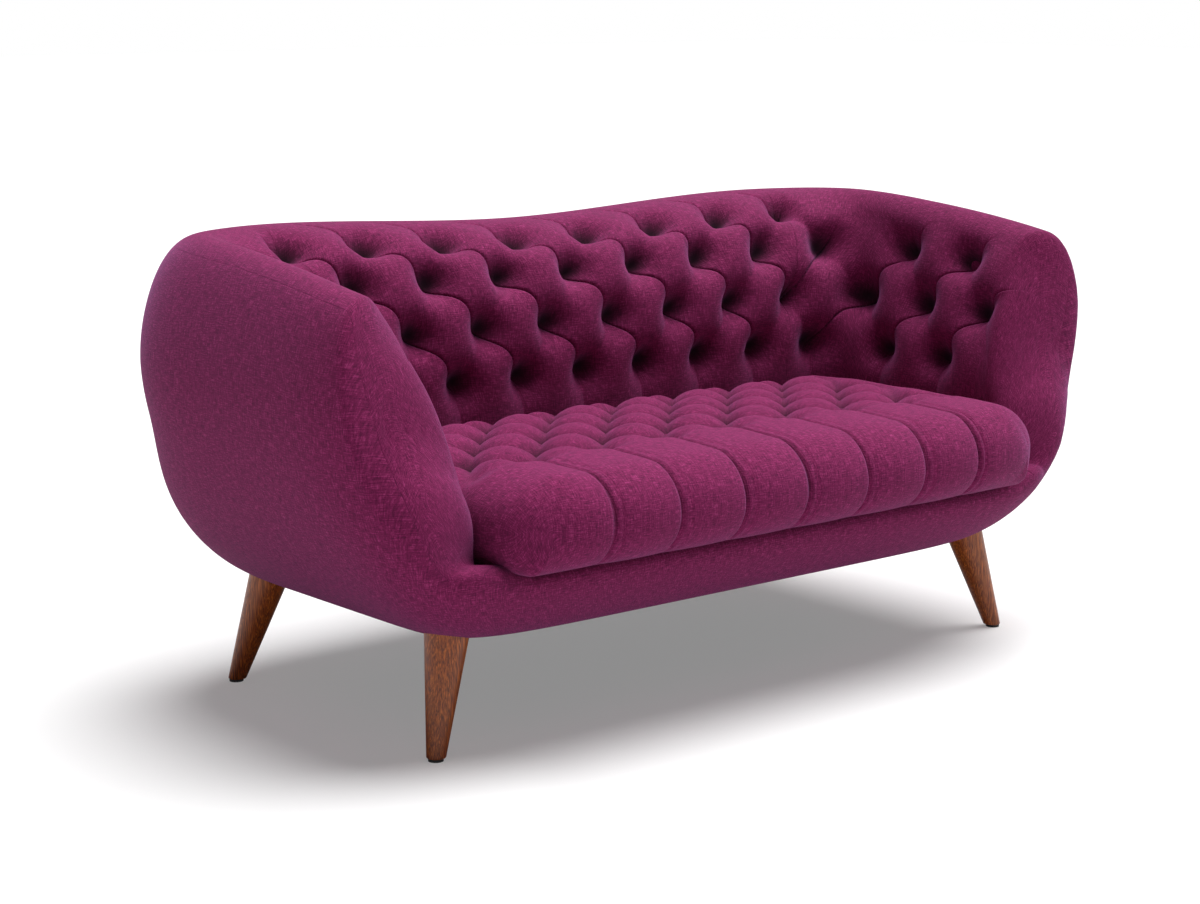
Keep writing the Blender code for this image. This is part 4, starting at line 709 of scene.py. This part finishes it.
# %% Front lip
LIP_GRID, LIP_LINES, LIP_STRIDE = 0.006, 40, 4
lip_end = float(-FINE_RUN[0])
count = int(round(2 * (lip_end - ARM_END) / LIP_GRID))
half_psi = psi_at(np.linspace(ARM_END + JOINT_GAP, lip_end, count // 2))
lip_psi = np.concatenate([half_psi, (-math.pi - half_psi[-2::-1])])
seam, foot = height_at_seam(lip_psi), inside_foot(lip_psi)
height = mix(seam, foot, np.linspace(0, 1, LIP_LINES)[:, None])
wide_psi, wide_v = np.broadcast_to(lip_psi, height.shape), places_for(lip_psi, height)
points, normals = surface(wide_psi, wide_v), normals_of(wide_psi, wide_v)
lip_run = length_along(points[LIP_LINES // 2])
edge = np.minimum(seam - height, np.minimum(lip_run, lip_run[-1] - lip_run))
lip = padded_panel("front_lip", points - normals * rolled_edge(edge)[..., None],
                   points - normals * NOSE_PAD_THICKNESS, cloth_map_of(points), LIP_STRIDE)
dress(lip, "sofa", "woven_magenta_wool", "front_lip_pad")

# %% [markdown]
# The outer cover is one wide piece of wool over wadding. It comes up from under the base frame, over the
# egg-shaped side and back, and is sewn to the pads just outside the top of the rim. The CAD solid has holes
# for the legs. Here the cloth is drawn whole, so it closes snugly round each leg.

# %% Outer cover
COVER_GRID, COVER_STRIDE = 0.006, 4
COVER_MIDDLE_Z = 0.40
SIDE_LINES, RIM_LINES, UNDER_LINES, LINE_CROWDING = 74, 30, 4, 1.2
fine = np.linspace(0, 2 * math.pi, 4001)
around = length_along(outside(fine, np.full_like(fine, COVER_MIDDLE_Z)))
columns = int(round(around[-1] / COVER_GRID))
cover_run = np.linspace(0, around[-1], columns + 1)
cover_psi = np.interp(cover_run, around, fine)[:-1]
places = np.concatenate([np.linspace(0, 1, SIDE_LINES) ** LINE_CROWDING, np.linspace(1, SEAM, RIM_LINES)[1:]])
wide_psi, wide_v = np.meshgrid(cover_psi, places)
points, normals = surface(wide_psi, wide_v), normals_of(wide_psi, wide_v)
climb = length_along(points)
outer = points - normals * rolled_edge(climb[-1] - climb)[..., None]
inner = points - normals * COVER_THICKNESS
inner[0] = points[0] + [0, 0, COVER_THICKNESS]
# The last few lines turn in under the base
inward = COVER_TURN_UNDER * np.linspace(1, 0, UNDER_LINES + 1)[:-1]
turned = np.array([np.stack([*ring(cover_psi, BASE_HALF_WIDTH - step, BASE_FRONT_REACH - step,
                                   BASE_BACK_REACH - step, FRONT_SQUARENESS_LOW, BACK_SQUARENESS_LOW),
                             np.full(columns, UNDERSIDE_Z)], -1) for step in inward])
outer = np.concatenate([turned, outer])
inner = np.concatenate([turned + [0, 0, COVER_THICKNESS], inner])
climb = np.concatenate([np.repeat(-inward[:, None], columns, axis=1), climb])
climb = np.concatenate([climb, climb[:, :1]], axis=1)
cloth = np.stack([np.broadcast_to(cover_run, climb.shape), climb], -1)
cover = padded_panel("outer_wool_cover", outer, inner, cloth, COVER_STRIDE, closed=True)
dress(cover, "sofa", "woven_magenta_wool", "outer_cover")

# %% [markdown]
# The seat cushion is tufted on top in rows, and its cloth is pleated over the round front. It is built like
# the CAD solid, as a top and a bottom sheet that meet at a waist, but on a fine grid. First comes the plump
# plain shape, and then the tufts and pleats sink in along its own normals.

# %% Seat cushion
CUSHION_HALF_WIDTH, CUSHION_FRONT_REACH, CUSHION_BACK_REACH = 0.555, 0.450, 0.097
CUSHION_Z, CUSHION_HEIGHT, CUSHION_CROWN = 0.2790, 0.142, 0.012
CUSHION_SQUARENESS = 7.0
NOSE_RADIUS, SIDE_RADIUS, END_RADIUS = 0.074, 0.045, 0.038
SIDE_TOP_RADIUS, SIDE_LOW_RADIUS = 0.095, 0.040
WAIST = 0.48
SEAT_GRID, FEWEST_STEPS = 0.0041, 6
SEAT_COLUMN, SEAT_ROW, SEAT_FIRST_Y, SEAT_SHIFT = 0.129, 0.070, -0.255, -0.018
SEAT_TUFT_DEPTH, SEAT_PLEAT_DEPTH, SEAT_PIT_RADIUS, SEAT_ROUNDNESS = 0.040, 0.020, 0.019, 0.75
SEAT_TUCK_SHADE, SEAT_PLEAT_SHADE, NOSE_PLEAT_SHADE = 0.75, 0.45, 0.6
# The tufts fade out before the cushion's sides, and where the nose begins
SIDES_FROM, SIDES_LENGTH, NOSE_FADE = 0.47, 0.05, 0.5
# Over the nose: one strength per pleat, from the sofa's left, the line of thread, its flap, and the swell
PLEAT_STRENGTHS = (1.0, 0.5, 1.0, 1.0, 0.5, 1.0, 1.0)
OUTER_PLEAT = len(PLEAT_STRENGTHS) // 2
LINE_DEPTH, LINE_WIDTH, LINE_SHARPNESS = 0.0080, 0.0026, 1.5
FLAP_DEPTH, FLAP_WIDTH, FLAP_OFFSET = 0.0028, 0.0026, 0.013
SWELL_SHARE, SWELL_ROUNDNESS = 0.35, 0.7
SHEET_GAP, TINY = 0.0004, 1e-9


def arc_then_line(radius, length, radius_end, spacing):
    """Distances from an edge, even along a round edge, a flat middle and a second round edge"""
    steps = max(int(radius * math.pi / 2 / spacing), FEWEST_STEPS)
    first = radius * (1 - np.cos(np.linspace(0, math.pi / 2, steps + 1)))
    steps_end = max(int(radius_end * math.pi / 2 / spacing), FEWEST_STEPS)
    last = length - radius_end * (1 - np.cos(np.linspace(math.pi / 2, 0, steps_end + 1)))
    middle = np.linspace(radius, length - radius_end, int((length - radius - radius_end) / spacing) + 1)
    return np.concatenate([first, middle[1:-1], last])


def round_edge(distance, radius):
    """Height of a rounded edge, from 0 at the edge to 1 one radius in"""
    return np.sqrt(1 - (1 - np.clip(distance / radius, 0, 1)) ** 2)


def cushion_sheets():
    """Top and bottom points of the plain plump cushion, with the flat x, y they come from"""
    half, depth = CUSHION_HALF_WIDTH, CUSHION_FRONT_REACH + CUSHION_BACK_REACH
    x, y = np.meshgrid(arc_then_line(SIDE_RADIUS, 2 * half, SIDE_RADIUS, SEAT_GRID) - half,
                       arc_then_line(NOSE_RADIUS, depth, END_RADIUS, SEAT_GRID) - CUSHION_FRONT_REACH)
    centre_y, half_depth = (CUSHION_BACK_REACH - CUSHION_FRONT_REACH) / 2, depth / 2
    u, w = np.abs(x) / half, np.abs(y - centre_y) / half_depth
    square = np.maximum(u, w)
    round_size = (u ** CUSHION_SQUARENESS + w ** CUSHION_SQUARENESS) ** (1 / CUSHION_SQUARENESS)
    draw = 1 - (1 - square / np.maximum(round_size, TINY)) * square ** CUSHION_SQUARENESS
    front_lift = round_edge(y + CUSHION_FRONT_REACH, NOSE_RADIUS)
    end_lift = round_edge(CUSHION_BACK_REACH - y, END_RADIUS)
    lift = front_lift * round_edge(half - np.abs(x), SIDE_TOP_RADIUS) * end_lift
    low = np.minimum(front_lift, round_edge(half - np.abs(x), SIDE_LOW_RADIUS)) * end_lift
    waist = CUSHION_Z + CUSHION_HEIGHT * WAIST
    crown = CUSHION_CROWN * (1 - u * u) * (1 - w * w)
    top = waist + lift * (CUSHION_Z + CUSHION_HEIGHT - waist + crown)
    bottom = waist - low * (waist - CUSHION_Z)
    plan_x, plan_y = x * draw, centre_y + (y - centre_y) * draw
    return np.stack([plan_x, plan_y, top], -1), np.stack([plan_x, plan_y, bottom], -1), x, y


def grid_normals(points, turn):
    """Normals of a grid of points"""
    across, along = np.gradient(points, axis=1), np.gradient(points, axis=0)
    normal = np.cross(across, along) * turn
    return normal / np.maximum(np.linalg.norm(normal, axis=-1), TINY)[..., None]


def seat_depth(x, reach):
    """Depth of tufts and pleats on the cushion, and the painted shade that darkens its cloth in pits and
    hollows

    reach is the distance back from the nose along the cloth.
    """
    column, row = (x - SEAT_SHIFT) / SEAT_COLUMN, (reach - SEAT_REACH) / SEAT_ROW
    diamonds = np.sin(math.pi * (column + row / 2)) * np.sin(math.pi * (column - row / 2))
    hollow = 1 - np.abs(diamonds) ** SEAT_ROUNDNESS
    near_row = np.round(row)
    near_column = np.round(column - near_row / 2) + near_row / 2
    near = np.hypot((column - near_column) * SEAT_COLUMN, (row - near_row) * SEAT_ROW)
    pit = np.exp(-(near / SEAT_PIT_RADIUS) ** 2)
    tufted = SEAT_PLEAT_DEPTH * hollow + (SEAT_TUFT_DEPTH - SEAT_PLEAT_DEPTH) * pit
    sides = 1 - smooth((np.abs(x - SEAT_SHIFT) - SIDES_FROM) / SIDES_LENGTH)
    # Over the nose each pleat is a crisp line with a narrow flap beside it, and the panels swell between
    number = np.clip(np.round(column), -OUTER_PLEAT, OUTER_PLEAT).astype(int)
    strength = np.array(PLEAT_STRENGTHS)[number + OUTER_PLEAT]
    beside = (column - number) * SEAT_COLUMN
    waves = np.abs(np.sin(math.pi * np.clip(column, -OUTER_PLEAT - 0.5, OUTER_PLEAT + 0.5)))
    swelling = SEAT_PLEAT_DEPTH * SWELL_SHARE * (1 - waves ** SWELL_ROUNDNESS)
    thread = strength * np.exp(-np.abs(beside / LINE_WIDTH) ** LINE_SHARPNESS)
    flap = FLAP_DEPTH * strength * np.exp(-((beside - FLAP_OFFSET) / FLAP_WIDTH) ** 2)
    nose = smooth(-row / NOSE_FADE)
    # Painted shade: darker in the pits and hollows, and along each thread line over the nose
    tuck = np.clip(SEAT_TUCK_SHADE * pit + SEAT_PLEAT_SHADE * hollow ** 3, 0, 1) * sides
    return (tufted * sides * (1 - nose) + (swelling + LINE_DEPTH * thread + flap) * nose,
            tuck * (1 - nose) + NOSE_PLEAT_SHADE * thread * nose)


top, bottom, flat_x, flat_y = cushion_sheets()
half_line = top[:, top.shape[1] // 2]
nose_run = length_along(half_line)
SEAT_REACH = float(np.interp(SEAT_FIRST_Y, half_line[:, 1], nose_run))
# seat_depth also gives the painted shade of the cushion's pits, hollows and pleat lines
sunk, painted_shade_marks = seat_depth(flat_x, np.broadcast_to(nose_run[:, None], flat_x.shape))
top = top - grid_normals(top, 1) * sunk[..., None]
nose_low = seat_depth(flat_x, np.zeros_like(flat_x))[0]
nose_low = nose_low * smooth(1 - (flat_y + CUSHION_FRONT_REACH) / NOSE_RADIUS)
bottom = bottom - grid_normals(bottom, -1) * nose_low[..., None]
# Round the waist the two sheets meet
waist_line = np.ones(flat_x.shape, bool)
waist_line[1:-1, 1:-1] = False
top[waist_line] = (top[waist_line] + bottom[waist_line]) / 2
bottom[waist_line] = top[waist_line] - [0, 0, SHEET_GAP]
cushion = padded_panel("tufted_seat_cushion", top, bottom, cloth_map_of(top), 1, painted_shade_marks=painted_shade_marks)
dress(cushion, "cushion", "woven_magenta_wool", "seat_cushion")

# %% [markdown]
# Under the cushion a pad of grey felt lies on the springs, and a black cloth is stretched under the base and
# stapled there. Both are flat with soft edges. A square grid is pressed into their outline: each point keeps
# its share of the way from the middle to the edge. The felt sags a little between the springs.

# %% Felt deck and dust cover
DECK_SQUARENESS = (20, 20)
DECK_EDGE, DECK_SAG, SPRING_PITCH, SPRING_BAND = 0.006, 0.0012, 0.132, 0.022
DECK_GRID, LINING_GRID = (120, 48), (80, 48)
PANEL_EDGE_SHARE = 0.05


def laid_panel(name, box, squareness, edge, counts, finish):
    """A flat panel with soft edges that fills a box, with its squareness at the front and at the back"""
    low, high = box
    u, w = np.meshgrid(*(np.sin(np.linspace(-math.pi / 2, math.pi / 2, count)) for count in counts))
    share = np.maximum(np.abs(u), np.abs(w))
    x, y = ring(np.arctan2(w, u), high[0], -low[1], high[1], *squareness)
    x, y, middle, thick = x * share, y * share, (low[2] + high[2]) / 2, high[2] - low[2]
    lift = round_edge((1 - share) * np.max(np.abs(y)), edge) * thick / 2
    top = np.stack([x, y, middle + lift], -1)
    bottom = np.stack([x, y, middle - lift - (share == 1) * thick * PANEL_EDGE_SHARE], -1)
    return padded_panel(name, top, bottom, cloth_map_of(top), 1, finish=finish)


low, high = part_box("seat_deck")
felt = laid_panel("felt_deck", (low, high), DECK_SQUARENESS, DECK_EDGE, DECK_GRID, FINISHES["grey_felt"])
for vert in felt.data.vertices:
    if vert.co.z > (low[2] + high[2]) / 2:
        beside = (abs(vert.co.x) / SPRING_PITCH - 0.5) % 1 - 0.5
        vert.co.z -= DECK_SAG * (1 - math.exp(-(beside * SPRING_PITCH / SPRING_BAND) ** 2))
dress(felt, "sofa", "grey_felt", "seat_deck")

low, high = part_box("dust_cover")
lining = laid_panel("dust_cover_cloth", (low, high), (FRONT_SQUARENESS_LOW, BACK_SQUARENESS_LOW),
                    high[2] - low[2], LINING_GRID, FINISHES["black_lining_cloth"])
dress(lining, "sofa", "black_lining_cloth", "dust_cover")

# %% [markdown]
# The legs are turned on a lathe: plain cones with a slightly rounded foot. A cone is added at its size, its
# top ring is moved over in edit mode so that both ends stay level while the leg leans, and its foot edge is
# bevelled.

# %% Turned legs
FOOT_X, FOOT_Y = 0.600, 0.273
LEAN_X, LEAN_Y = 0.269, 0.194
LEG_FOOT_RADIUS, LEG_TOP_RADIUS = 0.0145, 0.0365
GLIDE_HEIGHT, LEG_TOP_Z = 0.0043, 0.2017
FOOT_BEVEL, LEG_SHARP_ANGLE = 0.0018, math.radians(40)


def select_where(made, test):
    """In edit mode, select just the vertices whose height passes a test"""
    bpy.ops.mesh.select_all(action="DESELECT")
    bm = bmesh.from_edit_mesh(made.data)
    for vert in bm.verts:
        vert.select_set(test(vert.co.z))
    bm.select_flush_mode()
    bmesh.update_edit_mesh(made.data)


def turned_leg(node, side, depth):
    """One leaning tapered leg, for a CAD node, on the right or left side and at the front or back"""
    bpy.ops.object.select_all(action="DESELECT")
    tall = LEG_TOP_Z - GLIDE_HEIGHT
    foot = (side * (FOOT_X - LEAN_X * GLIDE_HEIGHT), depth * (FOOT_Y - LEAN_Y * GLIDE_HEIGHT))
    bpy.ops.mesh.primitive_cone_add(vertices=64, radius1=LEG_FOOT_RADIUS, radius2=LEG_TOP_RADIUS, depth=tall,
                                    location=(*foot, GLIDE_HEIGHT + tall / 2))
    made = bpy.context.active_object
    made.name = "turned_" + node
    bpy.ops.object.transform_apply(location=True, rotation=True, scale=True)
    bpy.ops.object.mode_set(mode="EDIT")
    bpy.ops.mesh.select_mode(type="VERT")
    select_where(made, lambda z: z > tall / 2)
    bpy.ops.transform.translate(value=(-side * LEAN_X * tall, -depth * LEAN_Y * tall, 0))
    select_where(made, lambda z: z < tall / 2)
    bpy.ops.mesh.bevel(offset=FOOT_BEVEL, segments=3, affect="EDGES")
    bpy.ops.object.mode_set(mode="OBJECT")
    made.data.shade_smooth()
    made.data.set_sharp_from_angle(angle=LEG_SHARP_ANGLE)
    made.data.materials.clear()
    made.data.materials.append(walnut)
    print(made.name, "faces", len(made.data.polygons))
    dress(made, "sofa", "oiled_walnut", node)


for side, side_word in ((1, "right"), (-1, "left")):
    for depth, depth_word in ((-1, "front"), (1, "back")):
        turned_leg(f"{depth_word}_{side_word}_leg", side, depth)

# %% [markdown]
# The studio is a pale floor that runs out of sight into a white world, and one large softbox overhead. The
# walls of the room glow a little, more near the floor than above, which lights the outer sides and leaves the
# inside of the tub deep in colour. To the camera the floor shows nearly white, and still takes the shadow.

# %% Studio
FLOOR_GLOW = 0.25
SUN_DIRECTION, SUN_STRENGTH, SUN_WIDTH = (-0.28, 0.0, -1.0), 5.0, 50
GLOW_LOW, GLOW_HIGH, GLOW_TOP = 0.24, 0.04, 0.35
bpy.ops.object.select_all(action="DESELECT")
bpy.ops.mesh.primitive_plane_add(size=60, location=(0, 0, 0))
floor = bpy.context.active_object
floor.name = "studio_floor"
floor_finish, shader = start_material("matt_white_floor", 0.9, Specular_IOR_Level=0.1)
shader.inputs["Base Color"].default_value = linear("D6D6D6")
shader.inputs["Emission Color"].default_value = (1, 1, 1, 1)
rays = add_node(floor_finish, "LightPath")
seen = add_node(floor_finish, "Math", {0: rays.outputs["Is Camera Ray"], 1: FLOOR_GLOW}, operation="MULTIPLY")
join(floor_finish, seen.outputs[0], shader.inputs["Emission Strength"])
floor.data.materials.append(floor_finish)

# The lamp is too far to fall off, and shines from a patch of sky so many degrees wide
data = bpy.data.lights.new("overhead_softbox", "SUN")
data.energy = SUN_STRENGTH
data.angle = math.radians(SUN_WIDTH)
lamp = bpy.data.objects.new("overhead_softbox", data)
bpy.context.scene.collection.objects.link(lamp)
lamp.rotation_euler = Vector(SUN_DIRECTION).to_track_quat("-Z", "Y").to_euler()
world = bpy.data.worlds.new("white_studio")
bpy.context.scene.world = world
world.use_nodes = True
background = world.node_tree.nodes["Background"]
background.inputs["Color"].default_value = (1, 1, 1, 1)
rays = add_node(world, "LightPath")
first = add_node(world, "Math", {0: rays.outputs["Is Camera Ray"], 1: rays.outputs["Is Glossy Ray"]},
                 operation="ADD")
direct = add_node(world, "Math", {0: first.outputs[0], 1: rays.outputs["Is Transmission Ray"]},
                  operation="ADD", use_clamp=True)
sky = add_node(world, "TexCoord")
heights = add_node(world, "SeparateXYZ", {0: sky.outputs["Generated"]})
glow = add_node(world, "MapRange", {"Value": heights.outputs["Z"], "From Max": GLOW_TOP,
                                    "To Min": GLOW_LOW, "To Max": GLOW_HIGH})
# Where the camera looks past the floor the world is plain white, and elsewhere it only glows
strength = add_node(world, "MapRange", {"Value": direct.outputs[0], "To Min": glow.outputs[0]})
join(world, strength.outputs[0], background.inputs["Strength"])
bpy.context.scene.view_settings.view_transform = "Standard"
